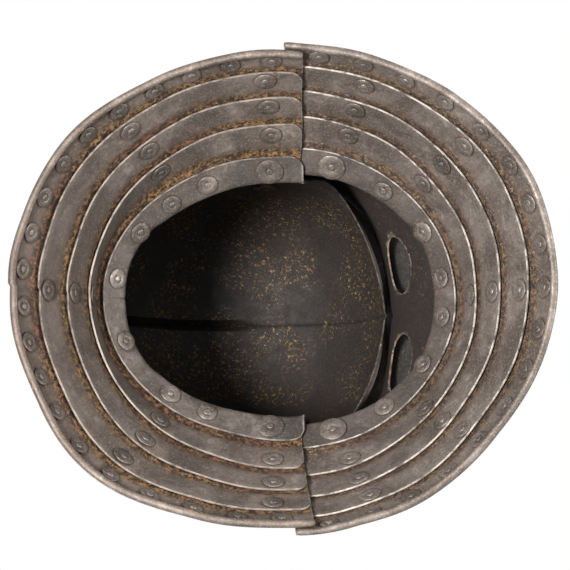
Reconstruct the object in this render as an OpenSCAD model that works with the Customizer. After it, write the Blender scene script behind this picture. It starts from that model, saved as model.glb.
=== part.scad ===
// Close helmet of a cuirassier: skull in two halves with a hollow comb, face guard, peak,
// and a gorget of four lames in front and four behind. X points forward, Y to the wearer's left.

/* [Gorget] */
// Outer length of the lowest lames, front to back
gorget_length = 356; // [330:1:380]
// Outer width of the lowest lames
gorget_width = 318.6; // [300:1:340]
// Height of the neck flange's lower edge above the ground
gorget_height = 83; // [76:1:92]
// How far each lame runs up behind the plate above it
lame_overlap = 13; // [11:0.5:15]
// Radius of the rolled lower edge
roll_r = 2.75; // [2:0.25:3.5]

/* [Neck] */
// Neck opening, from the middle of the wearer's head forward
neck_front = 101.5; // [92:0.5:110]
// Neck opening, from the middle backward
neck_rear = 108.7; // [100:0.5:116]
// Width of the neck opening
neck_width = 166; // [156:1:176]
// Height of the neck's bend above the flange's lower edge
neck_rise = 14; // [13.5:0.5:18]
// Flare of the neck flange at the front and back
flange_out = 14.3; // [11:0.5:18]
// Flare of the neck flange at the sides
flange_side = 17; // [13:0.5:21]

/* [Skull] */
// Thickness of every plate
plate_t = 1.3; // [1:0.1:1.6]
// Inner half-width of the skull at the temples
skull_half_w = 99.5; // [96:0.5:101]
// Height of the temple pivots
temple_z = 238; // [230:1:244]
// How far the temple pivots lie behind the middle
temple_back = 15; // [10:1:20]
// Reach from the temple pivots to the brow
brow_reach = 90; // [86:0.5:92]
// Reach from the temple pivots to the crown
crown_reach = 96.5; // [95:0.5:102]
// Reach from the temple pivots to the back of the skull
back_reach = 127; // [120:1:134]
// Height of the comb at its highest
comb_height = 25; // [14:1:30]
// Height of the folded ridge in front of the comb
ridge_height = 1.5; // [1:0.25:1.5]
// Inner half-width of the comb at its foot
comb_half_w = 4.5; // [3:0.5:6]

/* [Face guard] */
// Reach from the temple pivots to the guard's upper edge
guard_reach = 97; // [96.5:0.25:98]
// Gap between skull and face guard at the temples
guard_gap = 2.7; // [2.2:0.25:3.2]
// How far the chin stands out in front of the middle
chin_reach = 119.5; // [112:0.5:126]
// Half-width of each eye opening
eye_half_w = 22; // [16:0.5:26]
// Half-height of each eye opening
eye_half_h = 17.5; // [10:0.5:18]
// Distance of each eye opening's middle from the middle plane
eye_side = 37; // [32:0.5:42]

/* [Peak] */
// Reach from the temple pivots to the peak's band
peak_reach = 101; // [100.5:0.25:104]
// How far the peak juts out in front of its band
peak_out = 62; // [40:1:70]
// Gap between face guard and peak at the temples
peak_gap = 0.5; // [0.4:0.1:1.2]
// Width of the peak's arms
peak_arm_w = 17; // [14:0.5:20]

/* [Rivets] */
// Diameter of the rivets' shanks
rivet_d = 3.6; // [3:0.1:4]
// Diameter of the rivets' round heads
head_d = 9; // [7:0.5:10]
// Height of the rivets' round heads
head_h = 2.4; // [1.5:0.1:3]
// Diameter of the washers
washer_d = 13.5; // [11:0.5:14]
// Diameter of the four large washers beside the seams of the neck
washer_big_d = 19; // [15:0.5:20]
// Thickness of the washers
washer_t = 0.8; // [0.6:0.1:1.2]
// Diameter of the temple pivots
pivot_d = 6; // [5:0.5:7]
// Diameter of the temple pivots' heads
pivot_head_d = 17; // [13:0.5:20]

/* [Movement] */
// Swing of each lame on its two side rivets, in degrees
lame_swing = 1.2; // [0.5:0.1:1.2]

/* [Hidden] */
$fn = 32;

steel = "#5b5550";
steel_dark = "#47423e";
steel_worn = "#7a736c";

// Sets of plates: the front ones are 1, the rear ones -1
front = 1;
rear = -1;
lames = 4;
columns = 31;
// The lowest lames have a facet for each of their lining rivets and one between each two
front_foot_columns = 35;
rear_foot_columns = 41;
// Half of the step between the rear plates and the front plates over them, at the neck and the foot
neck_step = 2.9;
foot_step = 2.5;
// Where the plates end beside the side seams
front_end_x = -1;
rear_end_x = 11;
skull_end_x = 13;
// Clearance between two plates at the side rivets
plate_gap = 0.45;
// The lowest plates' thickness measured level
level_t = plate_t / 0.8;
rivet_up = 7;
half_turn = 35;
neck_z = gorget_height + neck_rise;
temple = [-temple_back, 0, temple_z];
fit = 0.02;
running = 0.1;
slide = 0.25;
seat = 0.3;
seat_big = 0.6;
head_gap = 0.3;
far = 400;
guard_half_w = skull_half_w + plate_t + guard_gap;
peak_half_w = guard_half_w + plate_t + peak_gap;

function unit(v) = v / norm(v);
function mix(a, b, t) = a + (b - a) * t;
function knot(a, b, c, d, t) =
  0.5 * (2 * b + (c - a) * t + (2 * a - 5 * b + 4 * c - d) * t * t + (3 * b - 3 * c + d - a) * t * t * t);
function curve(P, n) = concat(
  [for (i = [0:len(P) - 2]) for (j = [0:n - 1])
    knot(P[max(i - 1, 0)], P[i], P[i + 1], P[min(i + 2, len(P) - 1)], j / n)],
  [P[len(P) - 1]]);
function middle(P) = [for (i = [1:len(P) - 2]) P[i]];

// Half-axes of the gorget's edges: edge 0 is the flange's lower edge, edge 4 the lowest one
function neck_axes(d) = [d > 0 ? neck_front : neck_rear, neck_width / 2 + d * neck_step];
function flange_axes(d) = neck_axes(d) + [flange_out, flange_side];
function foot_axes(d) = [gorget_length / 2 - level_t, gorget_width / 2 - level_t - foot_step + d * foot_step];
function flare(d) = d > 0 ? 1.2 : 1.5;
flare_side = 0.8;
function edge_z(k) = gorget_height * (1 - k / lames);
function edge_axes(d, k) = let (u = k / lames) [
  mix(flange_axes(d).x, foot_axes(d).x, pow(u, flare(d))),
  mix(flange_axes(d).y, foot_axes(d).y, pow(u, flare_side))];

// How much plate k leans out for its height, lengthways and sideways
function lean(d, k) = k == 0 ? [flange_out, flange_side] / neck_rise
  : let (step = edge_axes(d, k) - edge_axes(d, k - 1))
    [step.x - lap(d, k, 0).x, step.y - lap(d, k, 90).y] * lames / gorget_height;
// Step from the inner face of plate k - 1 to that of plate k, measured level, at angle a: the
// plate's thickness, a gap, and towards the middle the room for the swing
function lap(d, k, a) = let (l = lean(d, k - 1), arm = edge_axes(d, k - 1).x - 10)
  [for (i = [0, 1]) (plate_t + plate_gap) * sqrt(1 + l[i] * l[i])
    + arm * sin(lame_swing) * max(0.1, l[i]) * max(0, cos(a))];

// Half-axes of plate k's inner face at height z, at angle a from the middle
function plate_axes(d, k, z, a) =
  k == 0 ? mix(flange_axes(d), neck_axes(d), (z - gorget_height) / neck_rise)
  : z > edge_z(k - 1) ? plate_axes(d, k - 1, z, a) + lap(d, k, a)
  : mix(edge_axes(d, k), edge_axes(d, k - 1) + lap(d, k, a), (z - edge_z(k)) / (edge_z(k - 1) - edge_z(k)));
function plate_point(d, k, z, a) = let (e = plate_axes(d, k, z, a)) [d * e.x * cos(a), d * e.y * sin(a), z];
function end_x(d, k) = d > 0 ? front_end_x : k == 0 ? skull_end_x : rear_end_x;
function end_angle(d, k, z) = acos(d * end_x(d, k) / plate_axes(d, k, z, 90).x);
function plate_rows(k) = k == 0 ? [gorget_height, neck_z]
  : [edge_z(k), mix(edge_z(k), edge_z(k - 1), 0.5), edge_z(k - 1),
     edge_z(k - 1) + lame_overlap / 2, edge_z(k - 1) + lame_overlap];

// Shares of the half ring at which the skull and the face guard meet their flanges
neck_shares = concat([0, 3, 14, 25], [for (i = [0:8]) half_turn + i * (94 - half_turn) / 8]) / 94;
function plate_shares(d, k) = k == 0
  ? concat([for (i = [len(neck_shares) - 1:-1:1]) -neck_shares[i]], neck_shares)
  : let (n = k < lames ? columns : d > 0 ? front_foot_columns : rear_foot_columns)
    [for (i = [0:n]) 2 * i / n - 1];
function plate_column(d, k, u) = [for (z = plate_rows(k)) plate_point(d, k, z, u * end_angle(d, k, z))];
function plate_grid(d, k) = [for (u = plate_shares(d, k)) plate_column(d, k, u)];
front_grids = [for (k = [0:lames]) plate_grid(front, k)];
rear_grids = [for (k = [0:lames]) plate_grid(rear, k)];
function grids(d) = d > 0 ? front_grids : rear_grids;

// Outward normal at a grid's point; on the middle plane it stays in that plane
function level(p, n) = abs(p.y) < 0.001 ? unit([n.x, 0, n.z]) : unit(n);
function normal(G, i, j) = let (
  a = G[max(i - 1, 0)][j], b = G[min(i + 1, len(G) - 1)][j],
  c = G[i][max(j - 1, 0)], e = G[i][min(j + 1, len(G[i]) - 1)])
  level(G[i][j], cross(b - a, e - c));
// The rings at the neck's bend are offset level, so the flange meets its plate on one flat face
function ring_normal(d, p) = let (e = neck_axes(d)) unit([p.x / pow(e.x, 2), p.y / pow(e.y, 2), 0]);

// Closed sheet between a grid of points and the same grid moved out
module sheet(inner, outer) {
  n = len(inner);
  m = len(inner[0]);
  s = n * m;
  inner_flat = [for (r = inner) each r];
  outer_flat = [for (r = outer) each r];
  skins = [for (i = [0:n - 2]) for (j = [0:m - 2])
    let (a = i * m + j, b = a + m)
    each [[a, b, a + 1], [a + 1, b, b + 1], [s + a, s + a + 1, s + b], [s + a + 1, s + b + 1, s + b]]];
  rim = concat(
    [for (j = [0:m - 1]) j], [for (i = [1:n - 1]) i * m + m - 1],
    [for (j = [m - 2:-1:0]) (n - 1) * m + j], [for (i = [n - 2:-1:1]) i * m]);
  walls = [for (q = [0:len(rim) - 1])
    let (a = rim[q], b = rim[(q + 1) % len(rim)])
    each [[a, b, s + b], [a, s + b, s + a]]];
  polyhedron(points = concat(inner_flat, outer_flat), faces = concat(skins, walls));
}

function moved_out(G, t) = [for (i = [0:len(G) - 1]) [for (j = [0:len(G[i]) - 1])
  G[i][j] + t * normal(G, i, j)]];

// Plate k of a set, as a plain curved sheet
module plate_sheet(d, k) {
  G = grids(d)[k];
  sheet(G, moved_out(G, plate_t));
}

// Seat of a rivet on plate k: the middle of the flat facet nearest to angle a, at height z
function facet(d, k, a) = let (
  S = plate_shares(d, k), e = end_angle(d, k, edge_z(k)),
  off = [for (i = [0:len(S) - 2]) abs(e * (S[i] + S[i + 1]) / 2 - a)])
  search(min(off), off)[0];
function on_column(C, z) = [
  lookup(z, [for (p = C) [p.z, p.x]]), lookup(z, [for (p = C) [p.z, p.y]]), z];
function seat_point(d, k, a, z) = let (G = grids(d)[k], i = facet(d, k, a))
  (on_column(G[i], z) + on_column(G[i + 1], z)) / 2;
function seat_normal(d, k, a, z) = let (G = grids(d)[k], i = facet(d, k, a))
  unit(cross(on_column(G[i + 1], z) - on_column(G[i], z), on_column(G[i], z + 1) - on_column(G[i], z - 1)));
function seat_angle(d, k, a) = let (S = plate_shares(d, k), i = facet(d, k, a))
  end_angle(d, k, edge_z(k)) * (S[i] + S[i + 1]) / 2;
// How far the inner face of the plate outside lies from the seat, along the seat's normal
function next_face(d, k, a, z) = let (
  b = seat_angle(d, k, a), n = seat_normal(d, k + 1, b, z))
  (seat_point(d, k + 1, b, z) - seat_point(d, k, a, z)) * n / (n * seat_normal(d, k, a, z));
// Middle of the next lame's hole on a side rivet, which is where that lame's hinge axis passes
function hinge_point(d, k) = let (a = side_angle(d, k), z = edge_z(k) + rivet_up)
  seat_point(d, k, a, z) + seat_normal(d, k, a, z) * (next_face(d, k, a, z) + plate_t / 2);

// Turns and moves its children so that Z points out of plate k at a seat, and Y up its slope
module at_seat(d, k, a, z) {
  p = seat_point(d, k, a, z);
  n = seat_normal(d, k, a, z);
  x = unit(cross([0, 0, 1], n));
  y = cross(n, x);
  multmatrix([[x.x, y.x, n.x, p.x], [x.y, y.y, n.y, p.y], [x.z, y.z, n.z, p.z]]) children();
}

// Angles of the rivets from the middle of each set, in degrees
function side_angle(d, k) = d < 0 ? 85 : k == 0 ? 73 : 70;
function slide_angles(d, k) = d > 0 ? (k == 0 ? [-31, 31] : [-42, 0, 42]) : (k == 0 ? [-44, 44] : [-47, 0, 47]);
function flush_angles(d) = d > 0 ? [-54, -9, 9, 54] : [-64, -19, 9, 30, 64];
lining_z = 12;
function lining_angles(d) = let (S = plate_shares(d, lames), e = end_angle(d, lames, 0))
  [for (i = [1:2:len(S) - 3]) e * (S[i] + S[i + 1]) / 2];
function joint_angles(d, k) = concat([-side_angle(d, k), side_angle(d, k)], slide_angles(d, k));

module shank(from, to, d) {
  translate([0, 0, from]) cylinder(d = d, h = to - from, $fn = 24);
}

// Outline of a round head from its crown at radius 0 to its seat, which lies at height z
function head_line(d, h, z, up) = let (
  ball = (d * d / 4 + h * h) / (2 * h), arc = asin(min(1, d / 2 / ball)), steps = 3)
  [for (i = [0:steps]) let (a = arc * i / steps)
    [i == 0 ? 0 : ball * sin(a), z + up * (ball * cos(a) - ball + h)]];
function turned(P) = [for (i = [len(P) - 1:-1:0]) P[i]];

// Rivet with its peened end on the washer inside, and its head outside where it has one
module rivet(to, head, under = seat) {
  inside = -under - washer_t - 0.1;
  peen = head_line(rivet_d + 0.8, 0.9, inside, -1);
  outside = head ? turned(head_line(head_d, head_h, to, 1)) : [[rivet_d / 2, to], [0, to]];
  rotate_extrude($fn = 32) polygon(concat(peen,
    [[rivet_d / 2, inside]], head ? [[rivet_d / 2, to]] : [], outside));
}

module washer(d, under = seat) {
  translate([0, 0, -under - washer_t]) difference() {
    cylinder(d = d, h = washer_t, $fn = 40);
    translate([0, 0, -1]) cylinder(d = rivet_d + 2 * fit, h = washer_t + 2, $fn = 24);
  }
}

// The large washers beside the seams of the neck bridge the folds of the plate
function large(d, k, a) = k == 0 && abs(a) == side_angle(d, k);

// Rivets that carry the next lame
module joint_rivets(d, k) {
  z = edge_z(k) + rivet_up;
  for (a = joint_angles(d, k))
    at_seat(d, k, a, z)
      rivet(next_face(d, k, a, z) + plate_t + head_gap, true, large(d, k, a) ? seat_big : seat);
}

module flush_rivets(d) {
  for (a = flush_angles(d)) at_seat(d, 0, a, edge_z(0) + rivet_up) rivet(plate_t - 0.1, false);
}

module lining_rivets(d) {
  for (a = lining_angles(d))
    at_seat(d, lames, a, lining_z) rivet(plate_t + 0.1, true);
}

module plate_washers(d, k) {
  z = edge_z(k) + rivet_up;
  for (a = joint_angles(d, k))
    at_seat(d, k, a, z) washer(large(d, k, a) ? washer_big_d : washer_d, large(d, k, a) ? seat_big : seat);
  if (k == 0) for (a = flush_angles(d)) at_seat(d, k, a, z) washer(washer_d);
}

module lining_washers(d) {
  for (a = lining_angles(d)) at_seat(d, lames, a, lining_z) washer(washer_d - 1);
}

// Holes for the rivets that plate k holds itself
module own_holes(d, k) {
  z = edge_z(k) + rivet_up;
  angles = concat(joint_angles(d, k), k == 0 ? flush_angles(d) : []);
  for (a = angles) at_seat(d, k, a, z) shank(-1, plate_t + 1, rivet_d + 2 * fit);
}

// Holes and slots in plate k for the rivets that the plate inside it holds
module carried_holes(d, k) {
  z = edge_z(k - 1) + rivet_up;
  hinge = hinge_point(d, k - 1);
  for (a = joint_angles(d, k - 1)) {
    face = next_face(d, k - 1, a, z);
    side = abs(a) == side_angle(d, k - 1);
    hole_d = rivet_d + 2 * (side ? running : slide);
    travel = side ? 0 : abs(seat_point(d, k - 1, a, z).x - hinge.x) * sin(lame_swing) + slide;
    at_seat(d, k - 1, a, z) {
      shank(face - 0.6, face + plate_t + 1.5, hole_d);
      if (!side) {
        translate([0, travel, 0]) shank(face - 0.6, face + plate_t + 1.5, hole_d);
        translate([-hole_d / 2, 0, face - 0.6]) cube([hole_d, travel, plate_t + 2.1]);
      }
    }
  }
}

// Bead of the rolled lower edge, flat underneath
module rolled_edge(d) {
  sides = 8;
  G = grids(d)[lames];
  edge = [for (c = G) if (d < 0 || c[0].x > rear_end_x + 8) c[0]];
  n = len(edge);
  ring = [for (i = [0:n - 1]) let (
    t = unit(edge[min(i + 1, n - 1)] - edge[max(i - 1, 0)]),
    out = cross(t, [0, 0, 1]))
    [for (q = [0:sides - 1]) let (a = 360 * (q + 0.5) / sides)
      edge[i] + out * (roll_r * (cos(a) - 1) + plate_t) + [0, 0, roll_r * (0.9 + sin(a))]]];
  skin = [for (i = [0:n - 2]) for (q = [0:sides - 1]) let (
    a = i * sides + q, b = i * sides + (q + 1) % sides)
    each [[a, b, a + sides], [b, b + sides, a + sides]]];
  polyhedron(points = [for (r = ring) each r], faces = concat(skin,
    [[for (q = [sides - 1:-1:0]) q]], [[for (q = [0:sides - 1]) (n - 1) * sides + q]]));
}

module lame(d, k) {
  difference() {
    union() {
      plate_sheet(d, k);
      if (k == lames) rolled_edge(d);
    }
    carried_holes(d, k);
    if (k < lames) own_holes(d, k);
    if (k == lames) {
      for (a = lining_angles(d))
        at_seat(d, k, a, lining_z) shank(-2, plate_t + 1, rivet_d + 2 * fit);
      translate([-far / 2, -far / 2, -10]) cube([far, far, 10]);
    }
  }
}

// Shells that fan out from the temple pivots. Each rib runs from the temple, at half-width w,
// to a point of the shell's rim; the ribs that reach the middle plane have more rows.
side_rows = [0.16, 0.34, 0.52, 0.68, 0.8, 0.9];
crown_rows = [0.955, 0.985];
function rib_point(R, w, n, f, p = temple) = let (m = 1 + (n - 1) * (1 - R.y / w)) [
  mix(p.x, R.x, f), R.y + (w - R.y) * pow(max(0, 1 - pow(f, n)), 1 / m), mix(p.z, R.z, f)];
function short_rib(R, w, n) = [for (f = side_rows) rib_point(R, w, n, f / side_rows[5])];
function at_angle(q) = temple + q[1] * [cos(q[0]), 0, sin(q[0])];

// Half shell from two rows of ribs: short ones that end on the rim, long ones to the middle plane.
// A closed shell runs all round the temple. Folds are what the middle edge adds to the thickness.
module half_shell(short, long, w, neck_d, folds, closed) {
  a = len(short);
  n = a + len(long);
  ks = len(short[0]);
  kl = len(long[0]);
  ribs = concat(short, long);
  at = [for (i = [0:n - 1]) i < a ? 1 + i * ks : 1 + a * ks + (i - a) * kl];
  pole = [temple.x, w, temple.z];
  inner = concat([pole], [for (r = ribs) each r]);
  count = len(inner);
  function before(i) = i > 0 ? i - 1 : closed ? n - 1 : 0;
  function after(i) = i < n - 1 ? i + 1 : closed ? 0 : n - 1;
  function near(i, j, p) = j < len(ribs[i]) ? ribs[i][j] : p;
  function shell_normal(i, j) = let (
    p = ribs[i][j],
    u = near(before(i), j, p), v = near(after(i), j, p),
    c = j > 0 ? ribs[i][j - 1] : pole,
    e = ribs[i][min(j + 1, len(ribs[i]) - 1)])
    abs(p.z - neck_z) < 0.001 ? ring_normal(neck_d, p) : level(p, cross(v - u, e - c));
  outer = concat([pole + [0, plate_t, 0]],
    [for (i = [0:n - 1]) for (j = [0:len(ribs[i]) - 1])
      ribs[i][j] + shell_normal(i, j) * (plate_t + (i >= a && j == kl - 1 ? folds[i - a] : 0))]);
  cells = [for (i = [0:closed ? n - 1 : n - 2]) let (k = after(i))
    each concat([[0, at[k], at[i]]],
      [for (j = [0:min(len(ribs[i]), len(ribs[k])) - 2]) let (x = at[i] + j, y = at[k] + j)
        each [[x, y, x + 1], [x + 1, y, y + 1]]])];
  edge = concat(
    closed ? [] : concat([0], [for (j = [0:ks - 2]) at[0] + j]),
    [for (i = [0:a - 1]) at[i] + ks - 1],
    [for (j = [ks - 1:kl - 1]) at[a] + j],
    [for (i = [a + 1:n - 1]) at[i] + kl - 1],
    [for (j = [kl - 2:-1:closed ? ks - 1 : 0]) at[n - 1] + j]);
  walls = [for (q = [0:len(edge) - 1]) let (x = edge[q], y = edge[(q + 1) % len(edge)])
    each [[x, y, count + y], [x, count + y, count + x]]];
  polyhedron(points = concat(inner, outer), faces = concat(
    cells, [for (c = cells) [count + c[2], count + c[1], count + c[0]]], walls));
}

// The neck's bend on the left side, at a share of the half ring
function ring_left(d, u) = plate_point(d, 0, neck_z, d * u * end_angle(d, 0, neck_z));
function ring_shares() = [for (u = neck_shares) if (u > half_turn / 94 + 0.001) u];
function ring_rib(d, w, n) = concat(
  short_rib(ring_left(d, half_turn / 94), w, n),
  [for (u = [25, 14, 3, 0]) ring_left(d, u / 94)]);
function flange_outward(G, d) = [for (i = [0:len(G) - 1]) [for (j = [0:len(G[i]) - 1])
  G[i][j] + plate_t * (j == len(G[i]) - 1 ? ring_normal(d, G[i][j]) : normal(G, i, j))]];

// Middle line of the skull, from the brow over the crown to the neck
skull_line = curve(concat(
  [for (q = [
    [1.3, brow_reach], [30, brow_reach + 1], [58, brow_reach + 2.2], [75, brow_reach + 3.2], [91, crown_reach],
    [111, mix(crown_reach, back_reach, 0.41)], [134, mix(crown_reach, back_reach, 0.63)],
    [158, mix(crown_reach, back_reach, 0.82)], [179, back_reach], [197, back_reach * 1.044],
    [214, back_reach * 1.11], [228, back_reach * 1.215]]) at_angle(q)],
  [ring_left(rear, 0)]), 2);
skull_n = 2.3;
comb_line = [[0, 0], [91, 0], [101, 0.22], [112, 0.58], [123, 0.88], [134, 1], [150, 0.96], [166, 0.8],
  [182, 0.55], [200, 0.27], [215, 0.07], [226, 0]];
function turn_of(R) = let (a = atan2(R.z - temple.z, R.x - temple.x)) a < -90 ? a + 360 : a;
function comb_rise(R) = ridge_height + (comb_height - ridge_height) * lookup(turn_of(R), comb_line);
fold_share = 0.12;
function ridge_point(R) = R + unit(R - temple) * comb_rise(R) * (1 - fold_share);
brow_corner = temple + [75, 56, -10];
brow_mid = skull_line[0];
function brow_point(y) = let (u = sqrt(1 - pow(y / brow_corner.y, 2)))
  [mix(brow_corner.x, brow_mid.x, u), y, mix(brow_corner.z, brow_mid.z, u)];
brow_rib = concat(
  short_rib(brow_corner, skull_half_w, skull_n),
  [for (y = [40, 23, comb_half_w]) brow_point(y)], [ridge_point(brow_mid)]);
function crown_rib(R) = concat(
  [for (f = concat(side_rows, crown_rows)) rib_point(R, skull_half_w, skull_n, f)],
  [[R.x, comb_half_w, R.z]], [ridge_point(R)]);
cheek = middle(curve([
  ring_left(rear, 1),
  [temple.x + 37, skull_half_w * 0.885, neck_z + 33],
  [temple.x + 45, skull_half_w * 0.92, neck_z + 68],
  [temple.x + 53, skull_half_w * 0.915, neck_z + 98],
  [temple.x + 65, skull_half_w * 0.765, neck_z + 118],
  brow_corner], 2));
crown_mids = middle(skull_line);

module skull_half() {
  G = grids(rear)[0];
  F = [for (i = [0:len(neck_shares) - 1]) G[i]];
  difference() {
    union() {
      half_shell(
        concat([for (u = ring_shares()) short_rib(ring_left(rear, u), skull_half_w, skull_n)],
          [for (p = cheek) short_rib(p, skull_half_w, skull_n)]),
        concat([brow_rib], [for (R = crown_mids) crown_rib(R)], [ring_rib(rear, skull_half_w, skull_n)]),
        skull_half_w, rear,
        concat([for (R = concat([brow_mid], crown_mids)) fold_share * comb_rise(R)], [0]),
        true);
      sheet(F, flange_outward(F, rear));
    }
    temple_bore(pivot_d + 2 * fit);
  }
}

module skull_left() {
  color(steel_dark) difference() {
    skull_half();
    own_holes(rear, 0);
  }
}

module skull_right() {
  color(steel_dark) difference() {
    mirror([0, 1, 0]) skull_half();
    own_holes(rear, 0);
  }
}

// Round parts on the left temple's axis, from one half-width to another
module at_temple(y) {
  translate([temple.x, y, temple.z]) rotate([-90, 0, 0]) children();
}

module both_sides() {
  children();
  mirror([0, 1, 0]) children();
}

module temple_bore(d) {
  at_temple(skull_half_w / 2) cylinder(d = d, h = skull_half_w, $fn = 32);
}

spacer_gap = 0.15;
spacer_d = 20;
nut_d = 19;
nut_t = 2.2;
nut_gap = 0.55;
peak_outer_w = peak_half_w + plate_t + 0.2;
pivot_head_h = 4;
nut_face = skull_half_w - nut_gap - nut_t - 0.1;

module temple_pivots() {
  color(steel_worn) both_sides() {
    at_temple(0) rotate_extrude($fn = 48) polygon(concat(
      head_line(pivot_d + 3, 1.6, nut_face, -1), [[pivot_d / 2, nut_face]],
      [[pivot_d / 2, peak_outer_w + head_gap]],
      turned(head_line(pivot_head_d, pivot_head_h, peak_outer_w + head_gap, 1))));
  }
}

module temple_spacers() {
  color(steel) both_sides() at_temple(skull_half_w + plate_t + spacer_gap) difference() {
    cylinder(d = spacer_d, h = guard_gap - 2 * spacer_gap);
    translate([0, 0, -1]) cylinder(d = pivot_d + 2 * fit, h = 10);
  }
}

module temple_nut_plates() {
  color(steel) both_sides() at_temple(skull_half_w - nut_gap - nut_t) difference() {
    cylinder(d = nut_d, h = nut_t);
    translate([0, 0, -1]) cylinder(d = pivot_d + 2 * fit, h = 10);
  }
}

// Middle line of the face guard, from the neck over the chin to the upper edge
guard_n = 2.8;
guard_brow = at_angle([1.2, guard_reach]);
guard_line = curve([
  ring_left(front, 0),
  [mix(neck_front, chin_reach, 0.42), 0, neck_z + 17],
  [chin_reach, 0, neck_z + 51],
  [chin_reach - 5, 0, neck_z + 75],
  [mix(chin_reach, guard_brow.x, 0.57), 0, mix(neck_z, guard_brow.z, 0.735)],
  [mix(chin_reach, guard_brow.x, 0.9), 0, mix(neck_z, guard_brow.z, 0.92)],
  guard_brow, at_angle([11.5, guard_reach]), at_angle([22, guard_reach])], 3);
guard_keel = 2;
function guard_rib(R) = concat(
  [for (f = concat(side_rows, crown_rows, [0.998])) rib_point(R, guard_half_w, guard_n, f)],
  [R + unit(R - temple) * guard_keel]);
guard_mids = [for (i = [1:len(guard_line) - 1]) guard_line[i]];

module guard_half() {
  half_shell(
    [for (i = [len(neck_shares) - 1:-1:5]) short_rib(ring_left(front, neck_shares[i]), guard_half_w, guard_n)],
    concat([ring_rib(front, guard_half_w, guard_n)], [for (R = guard_mids) guard_rib(R)]),
    guard_half_w, front, [for (i = [0:len(guard_mids)]) 0], false);
}

// Middle of an eye opening and the slope of the guard there
eye_back = 0.97;
eye_mid = let (R = guard_line[14]) [mix(temple.x, R.x, eye_back), eye_side, mix(temple.z, R.z, eye_back) + 2];
module eye_opening() {
  translate(eye_mid) rotate([0, 64, 10]) rotate(8) linear_extrude(height = 50, center = true)
    polygon([for (i = [0:31]) let (a = i * 360 / 32) [eye_half_h * cos(a), eye_half_w * sin(a)]]);
}

module face_guard() {
  G = grids(front)[0];
  color(steel) difference() {
    union() {
      both_sides() {
        guard_half();
        at_temple(guard_half_w) cylinder(d = 36, h = plate_t + 0.1);
      }
      sheet(G, flange_outward(G, front));
    }
    own_holes(front, 0);
    both_sides() {
      temple_bore(pivot_d + 2 * running);
      eye_opening();
    }
  }
}

// The peak: a band over the brow on two arms, with the brim in front of it. Each row gives its
// turn about the temples, its share of the brim and its place on the arm.
peak_rows = [[4, 1, -0.5], [5, 0.72, -0.32], [6.5, 0.36, -0.14], [9, 0.06, 0.04], [16, 0, 0.25], [23, 0, 0.5]];
peak_shares = [0, 0.2, 0.4, 0.55, 0.68, 0.78, 0.86, 0.92, 0.96, 0.985, 0.998, 1];
brim_start = 0.45;
brim_droop = 7;
function brim_share(f) = let (u = max(0, (f - brim_start) / (1 - brim_start))) u * u * (3 - 2 * u);
function peak_point(q, f) = rib_point(at_angle([q[0], peak_reach]), peak_half_w, guard_n, f,
    temple + [0, 0, q[2] * peak_arm_w])
  + q[1] * peak_out * brim_share(f) * [cos(brim_droop), 0, -sin(brim_droop)];
function mirrored(p) = [p.x, -p.y, p.z];
function peak_row(q) = let (half = [for (f = peak_shares) peak_point(q, f)])
  concat(half, [for (i = [len(half) - 2:-1:0]) mirrored(half[i])]);

module peak() {
  G = [for (q = peak_rows) peak_row(q)];
  color(steel) difference() {
    union() {
      sheet(G, moved_out(G, plate_t));
      both_sides() at_temple(peak_half_w - 0.1) cylinder(d = 26, h = plate_t + 0.2);
    }
    both_sides() temple_bore(pivot_d + 2 * running);
  }
}

module skull_rivets() {
  color(steel_worn) {
    joint_rivets(rear, 0);
    flush_rivets(rear);
  }
}
module skull_washers() { color(steel_worn) plate_washers(rear, 0); }
module face_guard_rivets() {
  color(steel_worn) {
    joint_rivets(front, 0);
    flush_rivets(front);
  }
}
module face_guard_washers() { color(steel_worn) plate_washers(front, 0); }

module lame_node(d, k) { color(k % 2 == 1 ? steel : steel_dark) lame(d, k); }
module rivets_node(d, k) { color(steel_worn) joint_rivets(d, k); }
module washers_node(d, k) { color(steel_worn) plate_washers(d, k); }
module lining_rivets_node(d) { color(steel_worn) lining_rivets(d); }
module lining_washers_node(d) { color(steel_worn) lining_washers(d); }

skull_left();
skull_right();
skull_rivets();
skull_washers();
temple_pivots();
temple_spacers();
temple_nut_plates();
face_guard();
face_guard_rivets();
face_guard_washers();
peak();
lame_node(front, 1);  // front_lame_1
lame_node(front, 2);  // front_lame_2
lame_node(front, 3);  // front_lame_3
lame_node(front, 4);  // front_lame_4
rivets_node(front, 1);  // front_rivets_1
rivets_node(front, 2);  // front_rivets_2
rivets_node(front, 3);  // front_rivets_3
lining_rivets_node(front);  // front_lining_rivets
washers_node(front, 1);  // front_washers_1
washers_node(front, 2);  // front_washers_2
washers_node(front, 3);  // front_washers_3
lining_washers_node(front);  // front_lining_washers
lame_node(rear, 1);  // rear_lame_1
lame_node(rear, 2);  // rear_lame_2
lame_node(rear, 3);  // rear_lame_3
lame_node(rear, 4);  // rear_lame_4
rivets_node(rear, 1);  // rear_rivets_1
rivets_node(rear, 2);  // rear_rivets_2
rivets_node(rear, 3);  // rear_rivets_3
lining_rivets_node(rear);  // rear_lining_rivets
washers_node(rear, 1);  // rear_washers_1
washers_node(rear, 2);  // rear_washers_2
washers_node(rear, 3);  // rear_washers_3
lining_washers_node(rear);  // rear_lining_washers
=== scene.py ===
"""Close helmet of a cuirassier, of hammered plate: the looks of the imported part.

The file is laid out as an add-on and run as a script. Sizes are in millimetres until a mesh is
made. X points forward, Y to the wearer's left, Z up, and the helmet stands on Z = 0.
"""

import math
from collections import namedtuple

import bmesh
import bpy
import numpy as np
from bpy.props import FloatProperty, FloatVectorProperty, IntProperty, PointerProperty
from mathutils import Matrix, Vector, kdtree


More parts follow.
